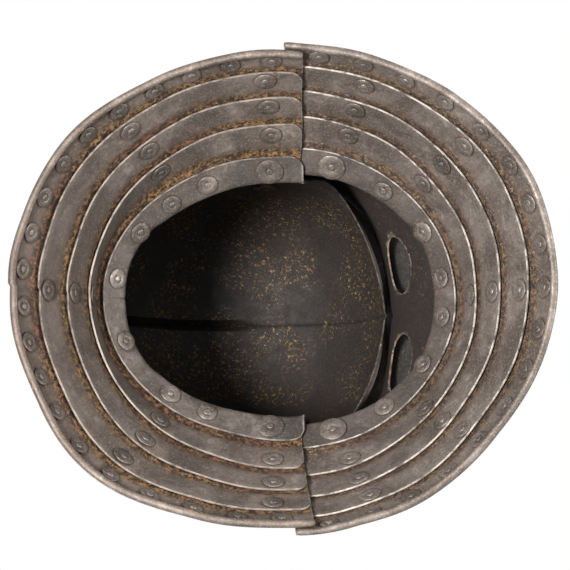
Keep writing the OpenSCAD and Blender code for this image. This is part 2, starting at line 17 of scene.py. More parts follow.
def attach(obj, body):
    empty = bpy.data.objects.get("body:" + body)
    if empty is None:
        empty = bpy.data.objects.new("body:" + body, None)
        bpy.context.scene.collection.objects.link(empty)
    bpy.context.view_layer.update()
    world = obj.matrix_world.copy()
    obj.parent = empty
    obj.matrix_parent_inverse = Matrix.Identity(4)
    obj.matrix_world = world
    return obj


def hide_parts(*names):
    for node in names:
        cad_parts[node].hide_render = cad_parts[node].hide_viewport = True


bl_info = {
    "name": "Cuirassier helmet",
    "version": (1, 0, 0),
    "blender": (4, 5, 0),
    "location": "View3D > Sidebar > Helmet",
    "description": "Dresses the plates, rivets and washers of a cuirassier's close helmet",
    "category": "Add Mesh",
}

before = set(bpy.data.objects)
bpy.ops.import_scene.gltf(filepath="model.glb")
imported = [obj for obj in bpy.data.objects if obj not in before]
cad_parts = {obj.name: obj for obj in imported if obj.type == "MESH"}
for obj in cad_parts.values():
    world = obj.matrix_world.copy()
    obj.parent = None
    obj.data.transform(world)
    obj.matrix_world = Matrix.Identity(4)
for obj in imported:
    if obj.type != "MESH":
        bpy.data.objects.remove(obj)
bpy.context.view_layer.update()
MM = 0.001

# Sizes of the plates in mm, as the part has them
FRONT, REAR = 1, -1
LAMES = 4
GORGET_LENGTH, GORGET_WIDTH, GORGET_HEIGHT = 356.0, 318.6, 83.0
LAME_OVERLAP, ROLL_R, PLATE_T = 13.0, 2.75, 1.3
NECK_FRONT, NECK_REAR, NECK_WIDTH, NECK_RISE = 101.5, 108.7, 166.0, 14.0
FLANGE_OUT, FLANGE_SIDE = 14.3, 17.0
NECK_STEP, FOOT_STEP, PLATE_GAP = 2.9, 2.5, 0.45
FRONT_END_X, REAR_END_X, SKULL_END_X = -1.0, 11.0, 13.0
LAME_SWING, HINGE_IN, LEAST_LEAN = 1.2, 10.0, 0.1
FRONT_FLARE, REAR_FLARE, SIDE_FLARE = 1.2, 1.5, 0.8  # powers that bow the gorget's outline

# Rivets and washers: their places, their play and the gaps that a head and a washer keep
RIVET_UP, LINING_Z = 7.0, 12.0
PLAY, HEAD_GAP, SEAT_GAP, WIDE_SEAT_GAP = 0.1, 0.3, 0.3, 0.6
LINING_WASHER, WIDE_WASHER = 0.92, 1.4

# Half-widths at the temples, reaches from the temples' axis, and the comb, the eyes and the peak
SKULL_W, GUARD_W, PEAK_W = 99.5, 103.5, 105.3
BROW_REACH, CROWN_REACH, BACK_REACH = 90.0, 96.5, 127.0
COMB_HEIGHT, RIDGE_HEIGHT, COMB_W = 25.0, 1.5, 4.5
GUARD_REACH, CHIN_REACH, PEAK_REACH, PEAK_OUT, PEAK_ARM = 97.0, 119.5, 101.0, 62.0, 17.0
EYE_W, EYE_H, EYE_SIDE = 22.0, 17.5, 37.0
KEEL, BRIM_SLOPE, CREST = 2.0, 7.0, 0.12
SKULL_N, GUARD_N = 2.3, 2.8  # powers of the ribs' round sections
NECK_Z = GORGET_HEIGHT + NECK_RISE
LEVEL_T = PLATE_T / 0.8  # a leaning plate's thickness, measured level
TEMPLE = np.array([-15.0, 0.0, 238.0])

# Half of the neck's ring in parts: the ribs that reach the middle plane end on the first of them
RING_PARTS = 94
MIDDLE_PARTS = [0, 3, 14, 25, 35]
HALF_TURN = MIDDLE_PARTS[-1] / RING_PARTS
FACETS = 31
LOWEST_FACETS = {FRONT: 35, REAR: 41}

# Angles of the rivets from the middle of the front or the back, for the neck's plate (True) and for
# a lame (False). The first two of each row stand beside the side seams.
JOINT_RIVETS = {
    (FRONT, True): (-73, 73, -31, 31),
    (FRONT, False): (-70, 70, -42, 0, 42),
    (REAR, True): (-85, 85, -44, 44),
    (REAR, False): (-85, 85, -47, 0, 47),
}
FLANGE_RIVETS = {FRONT: (-54, -9, 9, 54), REAR: (-64, -19, 9, 30, 64)}
Rivet = namedtuple("Rivet", "place facing grip headed size gap")

# Uneven forging of the foot's outline: swells as (height, angle round the helmet, spread in degrees)
SWELLS = ((9.5, 131, 25), (-4.2, 28, 24), (2.0, -142, 22), (1.6, -32, 16), (1.8, -176, 7))
SLANT = (8.5, 92, 30)
SWELL_TOP, SLANT_TOP, SCALLOPS = 78.0, 90.0, 0.9
WAVE, SMALL_WAVE, LEAST_WAVE = 0.45, 0.3, 0.25
STILL, FADE = 20.0, 60.0  # nothing waves so near to the temples, and then the waves fade in
FOOT_STILL, FOOT_FADE = 4.0, 40.0
FOLD = 0.01  # a vertex so near to the middle plane lies on it

# Reach of what a plate's tone attribute holds
EDGE_REACH, RIVET_REACH, SEAM_REACH, ROLL_REACH = 0.7, 5.0, 3.0, 1.3
LAP_ABOVE, LAP_BELOW, BEND_REACH = 6.0, 3.5, 5.0
# Rear and front neck flanges take these shares of the inside's painted shade, so they are painted lighter
# than the bowl
REAR_FLANGE_TONE, FRONT_FLANGE_TONE = 0.45, 0.65

# Tones of whole forms: (near an edge, near a rivet, share of the inside's painted shade, under a lap)
ROLL_TONE, BAND_TONE = (0.15, 0.0, 0.4, 0.22), (0.0, 0.0, 0.6, 0.0)
DISC_TONE, CUT_TONE, PLAIN_TONE = (0.0, 0.3, 0.0, 0.0), (0.0, 0.0, 1.0, 0.0), (0.0, 0.0, 0.0, 0.0)


def mix(a, b, t):
    return a + (b - a) * t


def smooth(t):
    t = min(1.0, max(0.0, t))
    return t * t * (3 - 2 * t)


def unit(v):
    return v / np.linalg.norm(v)


def curve(knots, steps):
    """Points of a smooth curve through the knots, with so many steps between two of them."""
    p = [np.array(k, float) for k in knots]
    last = len(p) - 1
    made = []
    for i in range(last):
        a, b, c, d = p[max(i - 1, 0)], p[i], p[i + 1], p[min(i + 2, last)]
        for t in (j / steps for j in range(steps)):
            bend, twist = 2 * a - 5 * b + 4 * c - d, 3 * b - 3 * c + d - a
            made.append(0.5 * (2 * b + (c - a) * t + bend * t * t + twist * t**3))
    made.append(p[last])
    return made


# Gorget: half-axes of its edges and of each plate's inner face
def neck_axes(d):
    return np.array([NECK_FRONT if d > 0 else NECK_REAR, NECK_WIDTH / 2 + d * NECK_STEP])


def edge_z(k):
    return GORGET_HEIGHT * (1 - k / LAMES)


def edge_axes(d, k):
    top = neck_axes(d) + [FLANGE_OUT, FLANGE_SIDE]
    foot = np.array([GORGET_LENGTH / 2 - LEVEL_T, GORGET_WIDTH / 2 - LEVEL_T - FOOT_STEP + d * FOOT_STEP])
    u = k / LAMES
    along = u ** (FRONT_FLARE if d > 0 else REAR_FLARE)
    return np.array([mix(top[0], foot[0], along), mix(top[1], foot[1], u**SIDE_FLARE)])


def lean(d, k):
    if k == 0:
        return np.array([FLANGE_OUT, FLANGE_SIDE]) / NECK_RISE
    step = edge_axes(d, k) - edge_axes(d, k - 1)
    return np.array([step[0] - lap(d, k, 1)[0], step[1] - lap(d, k, 0)[1]]) * LAMES / GORGET_HEIGHT


def lap(d, k, c):
    """Step from plate k - 1 to plate k, where c is the cosine of the angle from the middle."""
    out = lean(d, k - 1)
    arm = (edge_axes(d, k - 1)[0] - HINGE_IN) * math.sin(math.radians(LAME_SWING))
    return (PLATE_T + PLATE_GAP) * np.sqrt(1 + out * out) + arm * np.maximum(LEAST_LEAN, out) * max(0, c)


def plate_axes(d, k, z, c):
    if k == 0:
        return neck_axes(d) + np.array([FLANGE_OUT, FLANGE_SIDE]) * (NECK_Z - z) / NECK_RISE
    above = edge_z(k - 1)
    if z > above:
        return plate_axes(d, k - 1, z, c) + lap(d, k, c)
    up = (z - edge_z(k)) / (above - edge_z(k))
    return mix(edge_axes(d, k), edge_axes(d, k - 1) + lap(d, k, c), up)


def end_angle(d, k, z):
    end_x = FRONT_END_X if d > 0 else SKULL_END_X if k == 0 else REAR_END_X
    return math.degrees(math.acos(d * end_x / plate_axes(d, k, z, 0)[0]))


def plate_row(d, k, z, shares):
    """Points of plate k's inner face at height z, for shares of the half ring from -1 to 1."""
    flat, full = plate_axes(d, k, z, 0), plate_axes(d, k, z, 1)
    a = np.radians(np.asarray(shares) * end_angle(d, k, z))
    c = np.maximum(0, np.cos(a))[:, None]
    axes = flat + (full - flat) * c
    return np.stack([d * axes[:, 0] * np.cos(a), d * axes[:, 1] * np.sin(a), np.full(len(a), z)], 1)


def ring_left(d, u):
    return plate_row(d, 0, NECK_Z, [d * u])[0]


# Seats of the rivets
def plate_shares(d, k):
    if k == 0:
        last = MIDDLE_PARTS[-1]
        rest = [last + i * (RING_PARTS - last) / 8 for i in range(9)]
        s = np.array(MIDDLE_PARTS[:-1] + rest) / RING_PARTS
        return np.concatenate([-s[:0:-1], s])
    n = FACETS if k < LAMES else LOWEST_FACETS[d]
    return 2 * np.arange(n + 1) / n - 1


def seat(d, k, angle, z):
    """Place and outward normal of a rivet on plate k: on the facet nearest to that angle."""
    shares = plate_shares(d, k)
    e = end_angle(d, k, edge_z(k))
    mid = e * (shares[:-1] + shares[1:]) / 2
    i = int(np.argmin(np.abs(mid - angle)))
    rows = [plate_row(d, k, h, shares[i : i + 2]) for h in (z - 1, z, z + 1)]
    n = np.cross(rows[1][1] - rows[1][0], rows[2][0] - rows[0][0])
    return (rows[1][0] + rows[1][1]) / 2, unit(n), mid[i]


def next_face(d, k, angle, z):
    p, n, mid = seat(d, k, angle, z)
    q, m, _ = seat(d, k + 1, mid, z)
    return float((q - p) @ m / (m @ n))


def rivets_of(d, k):
    """Rivets that plate k holds: a washer's size is a share of the usual one, its gap is under the plate."""
    made = []
    if k == LAMES:
        shares, e = plate_shares(d, k), end_angle(d, k, 0)
        for i in range(1, len(shares) - 1, 2):
            p, n, _ = seat(d, k, e * (shares[i] + shares[i + 1]) / 2, LINING_Z)
            made.append(Rivet(p, n, PLATE_T + PLAY, 1.0, LINING_WASHER, SEAT_GAP))
        return made
    z = edge_z(k) + RIVET_UP
    for i, angle in enumerate(JOINT_RIVETS[d, k == 0]):
        p, n, _ = seat(d, k, angle, z)
        size, gap = (WIDE_WASHER, WIDE_SEAT_GAP) if k == 0 and i < 2 else (1.0, SEAT_GAP)
        made.append(Rivet(p, n, next_face(d, k, angle, z) + PLATE_T + HEAD_GAP, 1.0, size, gap))
    for angle in FLANGE_RIVETS[d] if k == 0 else ():
        p, n, _ = seat(d, k, angle, z)
        made.append(Rivet(p, n, PLATE_T - PLAY, 0.0, 1.0, SEAT_GAP))
    return made


# Shells that fan out from the temples
def rib_point(r, w, n, f, start=TEMPLE):
    m = 1 + (n - 1) * (1 - r[1] / w)
    y = r[1] + (w - r[1]) * max(0.0, 1 - f**n) ** (1 / m)
    return np.array([mix(start[0], r[0], f), y, mix(start[2], r[2], f)])


def at_angle(degrees, reach):
    a = math.radians(degrees)
    return TEMPLE + reach * np.array([math.cos(a), 0, math.sin(a)])


# Where a rib's points lie: shares of its way from the temple, and distances from the middle plane
SIDE_ROWS = [0.05, 0.1, 0.16, 0.22, 0.28, 0.34, 0.4, 0.46, 0.52, 0.58, 0.63, 0.68, 0.72, 0.76, 0.8,
             0.835, 0.87, 0.9]
CROWN_Y = [45, 39, 33, 28, 23, 18.5, 14.5, 11, 8, 6]
FACE_Y = [57, 51, 45, 39, 33, 28, 23, 18, 14, 10, 7, 4, 2, 0]
RIB_ENDS = [0.9, 0.925, 0.945, 0.96, 0.972, 0.981, 0.988, 0.994, 1.0]
SHORT_ROWS = SIDE_ROWS[:-1] + RIB_ENDS
LOW_ROWS = [0.9 * f for f in SHORT_ROWS]
WALL = [0, 0.2, 0.4, 0.55, 0.68, 0.79, 0.88, 0.95, 1.0]

# Distances from the middle plane at which the neck's ring has its middle parts
SKULL_MARKS = [0, 4.5, 22.9, 36.6, 51]
GUARD_MARKS = [0, 16.2, 33, 48.7, 63.6]


def short_rib(r, w, n):
    return [rib_point(r, w, n, f) for f in SHORT_ROWS]


def long_rows(n, w, rows):
    """Shares of a rib that reaches the middle plane, at those distances from it."""
    return [(1 - (y / w) ** n) ** (1 / n) for y in rows]


def turn_of(p):
    a = math.degrees(math.atan2(p[2] - TEMPLE[2], p[0] - TEMPLE[0]))
    return a + 360 if a < -90 else a


# Height of the comb as a share, over angles round the temples' axis from the brow to the nape
COMB_LINE = [(0, 0), (91, 0), (101, 0.22), (112, 0.58), (123, 0.88), (134, 1), (150, 0.96), (166, 0.8)]
COMB_LINE += [(182, 0.55), (200, 0.27), (215, 0.07), (226, 0)]


def comb_share(p):
    return float(np.interp(turn_of(p), *zip(*COMB_LINE)))


def comb_rise(p):
    return RIDGE_HEIGHT + (COMB_HEIGHT - RIDGE_HEIGHT) * comb_share(p)


def skull_line(steps):
    """The skull's middle line from the brow to the nape, from marks at (angle, reach from the temple)."""
    b, c, e = BROW_REACH, CROWN_REACH, BACK_REACH
    marks = [(1.3, b), (30, b + 1), (58, b + 2.2), (75, b + 3.2), (91, c)]
    marks += [(turn, mix(c, e, share)) for turn, share in ((111, 0.41), (134, 0.63), (158, 0.82))]
    marks += [(179, e), (197, e * 1.044), (214, e * 1.11), (228, e * 1.215)]
    return curve([at_angle(*q) for q in marks] + [ring_left(REAR, 0)], steps)


def guard_line(steps):
    """The face guard's middle line from the neck over the chin to the brow."""
    brow = at_angle(1.2, GUARD_REACH)
    marks = [ring_left(FRONT, 0), [mix(NECK_FRONT, CHIN_REACH, 0.42), 0, NECK_Z + 17]]
    marks += [[CHIN_REACH, 0, NECK_Z + 51], [CHIN_REACH - 5, 0, NECK_Z + 75]]
    for along, up in ((0.57, 0.735), (0.9, 0.92)):
        marks.append([mix(CHIN_REACH, brow[0], along), 0, mix(NECK_Z, brow[2], up)])
    return curve(marks + [brow, at_angle(11.5, GUARD_REACH), at_angle(22, GUARD_REACH)], steps)


def ring_tail(d, rows, marks):
    """Points on the neck's bend from the last short rib to the middle plane."""
    shares = np.interp(rows, marks, np.array(MIDDLE_PARTS) / RING_PARTS)
    return [ring_left(d, u) for u in shares], list(shares)


def fan(ribs, w, closed):
    """Vertices and faces of a surface whose ribs all start at the left temple."""
    verts = [np.array([TEMPLE[0], w, TEMPLE[2]])] + [p for r in ribs for p in r]
    at = np.cumsum([1] + [len(r) for r in ribs])
    faces = []
    for i in range(len(ribs) if closed else len(ribs) - 1):
        k = (i + 1) % len(ribs)
        faces.append((0, at[i], at[k]))
        for j in range(min(len(ribs[i]), len(ribs[k])) - 1):
            faces.append((at[i] + j, at[i] + j + 1, at[k] + j + 1, at[k] + j))
    return verts, faces


def grid(rows, closed=False):
    """Vertices and faces of rows of points, each face turning from a row towards the next one."""
    n, m = len(rows), len(rows[0])
    faces = []
    for i in range(n - 1):
        for j in range(m if closed else m - 1):
            k = (j + 1) % m
            faces.append((i * m + j, (i + 1) * m + j, (i + 1) * m + k, i * m + k))
    return [p for r in rows for p in r], faces


def joined(*parts):
    """One list of vertices and one of faces, with vertices at the same place merged."""
    verts, faces = [], []
    for v, f in parts:
        faces += [tuple(len(verts) + i for i in q) for q in f]
        verts += list(v)
    verts = np.array(verts)
    places = np.round(verts, 2) + 0.0
    _, first, which = np.unique(places, axis=0, return_index=True, return_inverse=True)
    which = which.reshape(-1)
    made = []
    for q in faces:
        q = [int(which[i]) for i in q]
        q = [a for i, a in enumerate(q) if a != q[i - 1]]
        if len(q) > 2:
            made.append(tuple(q))
    return verts[first], made


def mirrored(part):
    verts, faces = part
    return np.array(verts) * [1, -1, 1], [tuple(reversed(f)) for f in faces]


def neighbours(count, faces):
    near = [set() for _ in range(count)]
    for q in faces:
        for i, a in enumerate(q):
            near[a].add(q[i - 1])
            near[q[i - 1]].add(a)
    return near


def eased(verts, faces, chosen, passes):
    """Rounds off the bends of a sheet at the chosen vertices. Its edges stay where they are, but for
    the ones on the middle plane, which move along it."""
    near = neighbours(len(verts), faces)
    rim = set(np.unique(open_edges(faces)))
    moves = []
    for i in np.nonzero(chosen)[0]:
        around = list(near[i])
        if i in rim:
            around = [j for j in around if abs(verts[j][1]) < FOLD]
            if abs(verts[i][1]) >= FOLD or len(around) != 2:
                continue
        moves.append((i, around))
    for _ in range(passes):
        new = [(i, verts[around].mean(0)) for i, around in moves]
        for i, p in new:
            verts[i] = mix(verts[i], p, 0.6)
    return verts


def open_edges(faces):
    sides = {(q[i - 1], a) for q in faces for i, a in enumerate(q)}
    return np.array([(a, b) for a, b in sides if (b, a) not in sides])


def normals_of(verts, faces):
    n = np.zeros((len(verts), 3))
    for q in faces:
        a, b, c = verts[q[0]], verts[q[1]], verts[q[2]]
        f = np.cross(b - a, c - a)
        if len(q) == 4:
            f = f + np.cross(c - a, verts[q[3]] - a)
        for i in q:
            n[i] += f
    return n / np.maximum(1e-9, np.linalg.norm(n, axis=1))[:, None]


def hill(turn, high, middle, spread):
    return high * np.exp(-(((turn - middle) / spread) ** 2))


def forged(points):
    """Moves points as uneven hand work does. Every piece takes it, so what touched still does."""
    p = np.atleast_2d(np.array(points, float))
    x, y, z = p.T
    turn = np.degrees(np.arctan2(y, x))
    low = np.clip(1 - z / SWELL_TOP, 0, 1)
    low = low * low * (3 - 2 * low)
    swell = sum(hill(turn, *s) for s in SWELLS)
    swell += SCALLOPS * np.abs(np.sin(np.radians(turn) * 4.5 + 0.4))
    out = np.stack([x, y, 0 * z], 1) / np.maximum(1, np.hypot(x, y))[:, None]
    free = np.clip((np.hypot(x - TEMPLE[0], z - TEMPLE[2]) - STILL) / FADE, 0, 1)
    # Shallow waves that the hammer leaves, 60 to 200 mm long, along X, Y and Z
    waves = np.stack([
        WAVE * np.sin(x / 17 + 1.3 * np.sin(z / 23)) + SMALL_WAVE * np.sin(y / 11 + z / 19 + 2),
        WAVE * np.sin(y / 19 + x / 27 + 1) + SMALL_WAVE * np.sin(x / 10 - z / 21),
        SMALL_WAVE * np.sin(x / 15 + y / 18) + LEAST_WAVE * np.sin(y / 9.5 - x / 31 + 0.7)], 1)
    waves[:, 2] *= np.clip((z - FOOT_STILL) / FOOT_FADE, 0, 1)
    moved = p + out * (swell * low)[:, None] + waves * free[:, None]
    moved[:, 0] += hill(turn, *SLANT) * np.clip(1 - z / SLANT_TOP, 0, 1) ** 1.2
    return moved


def facing_out(verts, faces):
    """Turns the faces of a closed form outward."""
    verts = np.array(verts)
    volume = 0.0
    for q in faces:
        for i in range(1, len(q) - 1):
            volume += np.dot(verts[q[0]], np.cross(verts[q[i]], verts[q[i + 1]]))
    return verts, faces if volume > 0 else [tuple(reversed(f)) for f in faces]


def capped(rings, first, last):
    """Closed form of rings of points, with a fan from a middle point at each end."""
    verts, faces = grid(rings, True)
    faces = [tuple(reversed(f)) for f in faces]
    n, sides = len(verts), len(rings[0])
    for j in range(sides):
        k = (j + 1) % sides
        faces += [(n, k, j), (n + 1, n - sides + j, n - sides + k)]
    return facing_out(verts + [first, last], faces)


def tube(path, radii, sides, flat_at=None):
    """Closed tube along a path of points, with rounded ends; nothing of it goes below flat_at."""
    path = np.array(path)
    along = np.gradient(path, axis=0)
    rings = []
    for i, (p, t) in enumerate(zip(path, along)):
        t = unit(t)
        u = unit(np.cross(t, [0, 0, 1]))
        v = np.cross(u, t)
        a = np.arange(sides) * 2 * math.pi / sides
        ring = p + radii[i] * (np.cos(a)[:, None] * u + np.sin(a)[:, None] * v)
        if flat_at is not None:
            ring[:, 2] = np.maximum(ring[:, 2], flat_at)
        rings.append(ring)
    return capped(rings, path[0], path[-1])


def round_ends(count, radius, over=4):
    """Radii along a tube whose ends close like a dome."""
    steps = np.minimum(np.arange(count), np.arange(count)[::-1])
    return radius * np.sqrt(np.clip(1 - (1 - np.minimum(1, (steps + 0.15) / over)) ** 2, 0.02, 1))


def all_rivets():
    """Places of every rivet of the gorget, on both faces of what it holds."""
    places = []
    for d in (FRONT, REAR):
        for k in range(LAMES + 1):
            for r in rivets_of(d, k):
                places += [r.place, r.place + r.facing * r.grip]
    return np.array(places)


RIVETS = all_rivets()


def tones(verts, outer, rim, upper, seamed):
    """Tone of each point of a plate: how near it is to an edge (red) and to a rivet (green), how much
    of the inside's painted shade it takes (blue) and how near it is to where the plate runs under the one
    above (alpha)."""
    count = len(verts)
    tree = kdtree.KDTree(len(rim))
    for i in rim:
        tree.insert(verts[i], int(i))
    tree.balance()
    edge = np.array([tree.find(v)[2] for v in verts])
    edge = np.where((np.abs(verts[:, 1]) < SEAM_REACH) & seamed, 9, edge)  # the comb's seam isn't bare
    points = np.concatenate([verts, outer])
    tone = np.zeros((2 * count, 4), np.float32)
    worn = np.exp(-edge / EDGE_REACH)
    tone[:, 0] = np.concatenate([worn, 0.5 * worn])
    near = np.array([np.min(np.sum((RIVETS - p) ** 2, 1)) for p in points]) ** 0.5
    tone[:, 1] = np.exp(-np.maximum(0, near - RIVET_REACH) / RIVET_REACH)
    if upper is None:
        # Painted light: the neck flange takes less of the inside's painted shade than the bowl above it
        low = np.where(verts[:, 0] < 0, REAR_FLANGE_TONE, FRONT_FLANGE_TONE)
        tone[:count, 2] = low + (1 - low) * np.clip((verts[:, 2] - NECK_Z - 1) / BEND_REACH, 0, 1)
        tone[count + rim, 2] = tone[rim, 2]
        return tone
    tone[:count, 2] = 1
    z = points[:, 2]
    tone[:, 3] = np.exp(-np.where(z > upper, (z - upper) / LAP_ABOVE, (upper - z) / LAP_BELOW))
    # The groove above the lowest lame's roll takes the lap's tone, so its rust and painted shade too
    if upper < GORGET_HEIGHT / 3:
        roll = np.exp(-np.maximum(0, z - 1.9 * ROLL_R) / ROLL_REACH)
        tone[:, 3] = np.maximum(tone[:, 3], roll)
    return tone


def set_tone(mesh, values):
    mesh.attributes.new("tone", "FLOAT_COLOR", "POINT").data.foreach_set("color", values)


def plate(name, sheet, extra=0.0, solids=(), upper=None, cuts=(), seamed=False):
    """Makes the object of a plate from a sheet, its inner face: the outer one lies one thickness
    further out, and extra more where a crest needs it. Upper is the edge of the plate above a lame."""
    verts, faces = sheet
    n = normals_of(verts, faces)
    rim = open_edges(faces)
    on_rim = np.unique(rim)
    for i in on_rim:
        if abs(verts[i][1]) < FOLD:
            n[i] = unit([n[i][0], 0, n[i][2]])
    outer = verts + n * (PLATE_T + np.reshape(extra, (-1, 1)))
    count = len(verts)
    whole = [tuple(count + i for i in q) for q in faces] + [tuple(reversed(q)) for q in faces]
    whole += [(count + b, count + a, a, b) for a, b in rim.tolist()]
    mesh = bpy.data.meshes.new(name)
    mesh.from_pydata((forged(np.concatenate([verts, outer])) * MM).tolist(), [], whole)
    set_tone(mesh, tones(verts, outer, on_rim, upper, seamed).reshape(-1))
    work = bmesh.new()
    work.from_mesh(mesh)
    work.verts.ensure_lookup_table()
    wall = {frozenset(p) for a, b in rim.tolist() for p in ((a, b), (count + a, count + b))}
    sharp = [e for e in work.edges if frozenset(v.index for v in e.verts) in wall]
    bmesh.ops.bevel(work, geom=sharp, offset=0.3 * MM, segments=2, profile=0.5, affect="EDGES",
                    clamp_overlap=True)
    for part, shade in solids:
        add_solid(work, part, shade)
    work.normal_update()
    work.to_mesh(mesh)
    work.free()
    made = bpy.data.objects.new(name, mesh)
    bpy.context.scene.collection.objects.link(made)
    for cut in cuts:
        cut_out(made, cut)
    made.data.shade_smooth()
    made.data.set_sharp_from_angle(angle=math.radians(50))
    return made


def add_solid(work, part, shade):
    """Adds a closed form to a plate's mesh, with one tone all over it."""
    layer = work.verts.layers.float_color["tone"]
    new = []
    for p in forged(part[0]) * MM:
        v = work.verts.new(p)
        v[layer] = shade
        new.append(v)
    for q in part[1]:
        work.faces.new([new[i] for i in q])


def cut_out(target, part):
    """Cuts a closed form out of a plate; the cut's wall takes the tone of the inside, with its full painted
    shade.
    """
    verts, faces = part
    mesh = bpy.data.meshes.new("cut")
    mesh.from_pydata((forged(verts) * MM).tolist(), [], faces)
    set_tone(mesh, CUT_TONE * len(verts))
    tool = bpy.data.objects.new("cut", mesh)
    bpy.context.scene.collection.objects.link(tool)
    change = target.modifiers.new("cut", "BOOLEAN")
    change.operation = "DIFFERENCE"
    change.solver = "EXACT"
    change.object = tool
    settle(target)
    bpy.data.objects.remove(tool)
    bpy.data.meshes.remove(mesh)


def settle(target):
    """Turns what the modifiers show into the object's own mesh."""
    shown = target.evaluated_get(bpy.context.evaluated_depsgraph_get())
    made = bpy.data.meshes.new_from_object(shown)
    target.modifiers.clear()
    target.data = made


# Sheets of the plates
REAR_EXTRA, RIM_STEPS = 4.5, (0, 0.5, 1.3)
LAME_CORNER, FLANGE_CORNER = 7.0, 5.0
ROLL_THINNER, ROLL_TAPER = 0.6, 12.0
BEND_HALF, BEND_PASSES = 3.5, 6
FLANGE_ROWS = (83, 83.5, 84.2, 85.6, 87.6, 89.8, 92, 94, 95.6, NECK_Z)


def lame_rows(d, k, z0):
    """Heights of a lame's rows; the rear ones reach higher, so that no light shows between them."""
    top = edge_z(k - 1) + LAME_OVERLAP + (REAR_EXTRA if d < 0 and k > 1 else 0)
    inner = np.linspace(z0 + 2.4, top - 2.4, 17)
    return [z0 + s for s in RIM_STEPS] + list(inner) + [top - s for s in RIM_STEPS[::-1]]


def cornered(rows, shares, radius):
    """Rounds the lower corners of a sheet whose rows run from its lower edge up."""
    rows = np.array(rows)
    length = np.linalg.norm(np.diff(rows[0], axis=0), axis=1).sum() / 2
    away = (1 - np.abs(shares)) * length
    for j in np.nonzero(away < radius)[0]:
        lift = radius - math.sqrt(radius**2 - (radius - away[j]) ** 2)
        low, top = rows[0, j, 2], rows[-1, j, 2]
        heights = top - (top - rows[:, j, 2]) * (top - low - lift) / (top - low)
        rows[:, j] = np.stack([np.interp(heights, rows[:, j, 2], rows[:, j, i]) for i in range(3)], 1)
    return rows


def lame_sheet(d, k):
    """Inner face of a lame, with close rows at its ends, and its rows for the rolled edge."""
    inner = np.linspace(-0.97, 0.97, 255)
    ends = np.array([0.9985, 0.996, 0.9925, 0.989, 0.985, 0.98, 0.975])
    shares = np.concatenate([[-1], -ends, inner, ends[::-1], [1]])
    z0 = 0.9 * ROLL_R if k == LAMES else edge_z(k)
    rows = np.array([plate_row(d, k, z, shares) for z in lame_rows(d, k, z0)])
    for _ in range(3):
        rows[2:-2, :, :2] = (rows[1:-3, :, :2] + 2 * rows[2:-2, :, :2] + rows[3:-1, :, :2]) / 4
    if k < LAMES:
        rows = cornered(rows, shares, LAME_CORNER)
    verts, faces = grid(rows)
    faces = [tuple(reversed(f)) for f in faces]
    return np.array(verts), faces, rows


def bead(d, rows):
    """The rolled lower edge of a lowest lame; the front one is thinner where it runs in behind."""
    base = rows[0]
    out = np.stack([base[:, 0], base[:, 1], 0 * base[:, 2]], 1)
    out = out / np.array([GORGET_LENGTH**2, GORGET_WIDTH**2, 1])
    out /= np.linalg.norm(out, axis=1)[:, None]
    radius = np.full(len(base), ROLL_R)
    if d > 0:
        radius -= ROLL_THINNER * (1 - np.clip((base[:, 0] - REAR_END_X - 3) / ROLL_TAPER, 0, 1))
    path = base + out * (PLATE_T - radius)[:, None]
    path[:, 2] = 0.9 * radius
    return tube(path, round_ends(len(path), radius), 16, 0.0)


def flange_sheet(d, shares):
    shares = d * np.array(shares)
    rows = [plate_row(d, 0, z, shares) for z in FLANGE_ROWS]
    rows = cornered(rows, shares, FLANGE_CORNER)[::-1]
    verts, faces = grid(rows)
    return np.array(verts), faces


def skull_sheet():
    """Inner face of the left half: ribs that fan out from the temple, the comb's wall and the flange."""
    w, n = SKULL_W, SKULL_N
    shorts = np.linspace(1, HALF_TURN, 46)[::-1][1:]
    ribs = [short_rib(ring_left(REAR, u), w, n) for u in shorts]
    brow_mid = skull_line(1)[0]
    corner = TEMPLE + [75, 56, -10]
    # The front rim as (distance before the temple, share of the half-width, height over the neck)
    front = ((37, 0.885, 33), (45, 0.92, 68), (53, 0.915, 98), (65, 0.765, 118))
    marks = [np.array([TEMPLE[0] + x, w * share, NECK_Z + up]) for x, share, up in front]
    marks = [ring_left(REAR, 1)] + marks + [corner]
    brow_y = np.array([52, 48, 44, 40, 35.5, 31, 26.5, 22, 17.5, 13.5, 9.5, 6, 3, 0.0])
    lift = np.sqrt(1 - (brow_y / corner[1]) ** 2)[:, None]
    brow = mix(corner, brow_mid, lift)
    brow[:, 1] = brow_y
    rim = np.array(curve(marks, 7) + list(brow))
    for _ in range(60):
        rim[1:-1] = (rim[:-2] + 2 * rim[1:-1] + rim[2:]) / 4
    ribs += [short_rib(p, w, n) for p in rim[1:35]]
    corner, brow = rim[35], rim[35:][::-1]

    def brow_point(y):
        x, z = (np.interp(y, brow[:, 1], brow[:, i]) for i in (0, 2))
        return np.array([x, y, z])

    def wall(base, top):
        rise, e = comb_rise(top) * 0.88, mix(3.0, 1.0, smooth(comb_share(top) * 4))
        return [base(COMB_W * (1 - t)) + unit(top - TEMPLE) * rise * t**e for t in WALL]

    near = np.interp(CROWN_Y, SKULL_MARKS, [0, 4.5, 23, 40, corner[1]])
    ribs.append(short_rib(corner, w, n) + [brow_point(y) for y in near] + wall(brow_point, brow_mid))
    crown = long_rows(n, w, CROWN_Y)
    line = skull_line(11)
    for top in line[1:-1]:
        rib = [rib_point(top, w, n, f) for f in LOW_ROWS + crown]
        ribs.append(rib + wall(lambda y: np.array([top[0], y, top[2]]), top))
    tail, shares = ring_tail(REAR, CROWN_Y + [COMB_W * (1 - t) for t in WALL], SKULL_MARKS)
    ribs.append(short_rib(ring_left(REAR, HALF_TURN), w, n) + tail)
    flange = flange_sheet(REAR, sorted(shares) + [HALF_TURN] + list(shorts))
    return oriented(joined(fan(ribs, w, True), flange))


BROW_BAND = (14, 18)  # degrees over the temples' level, lower and upper edge


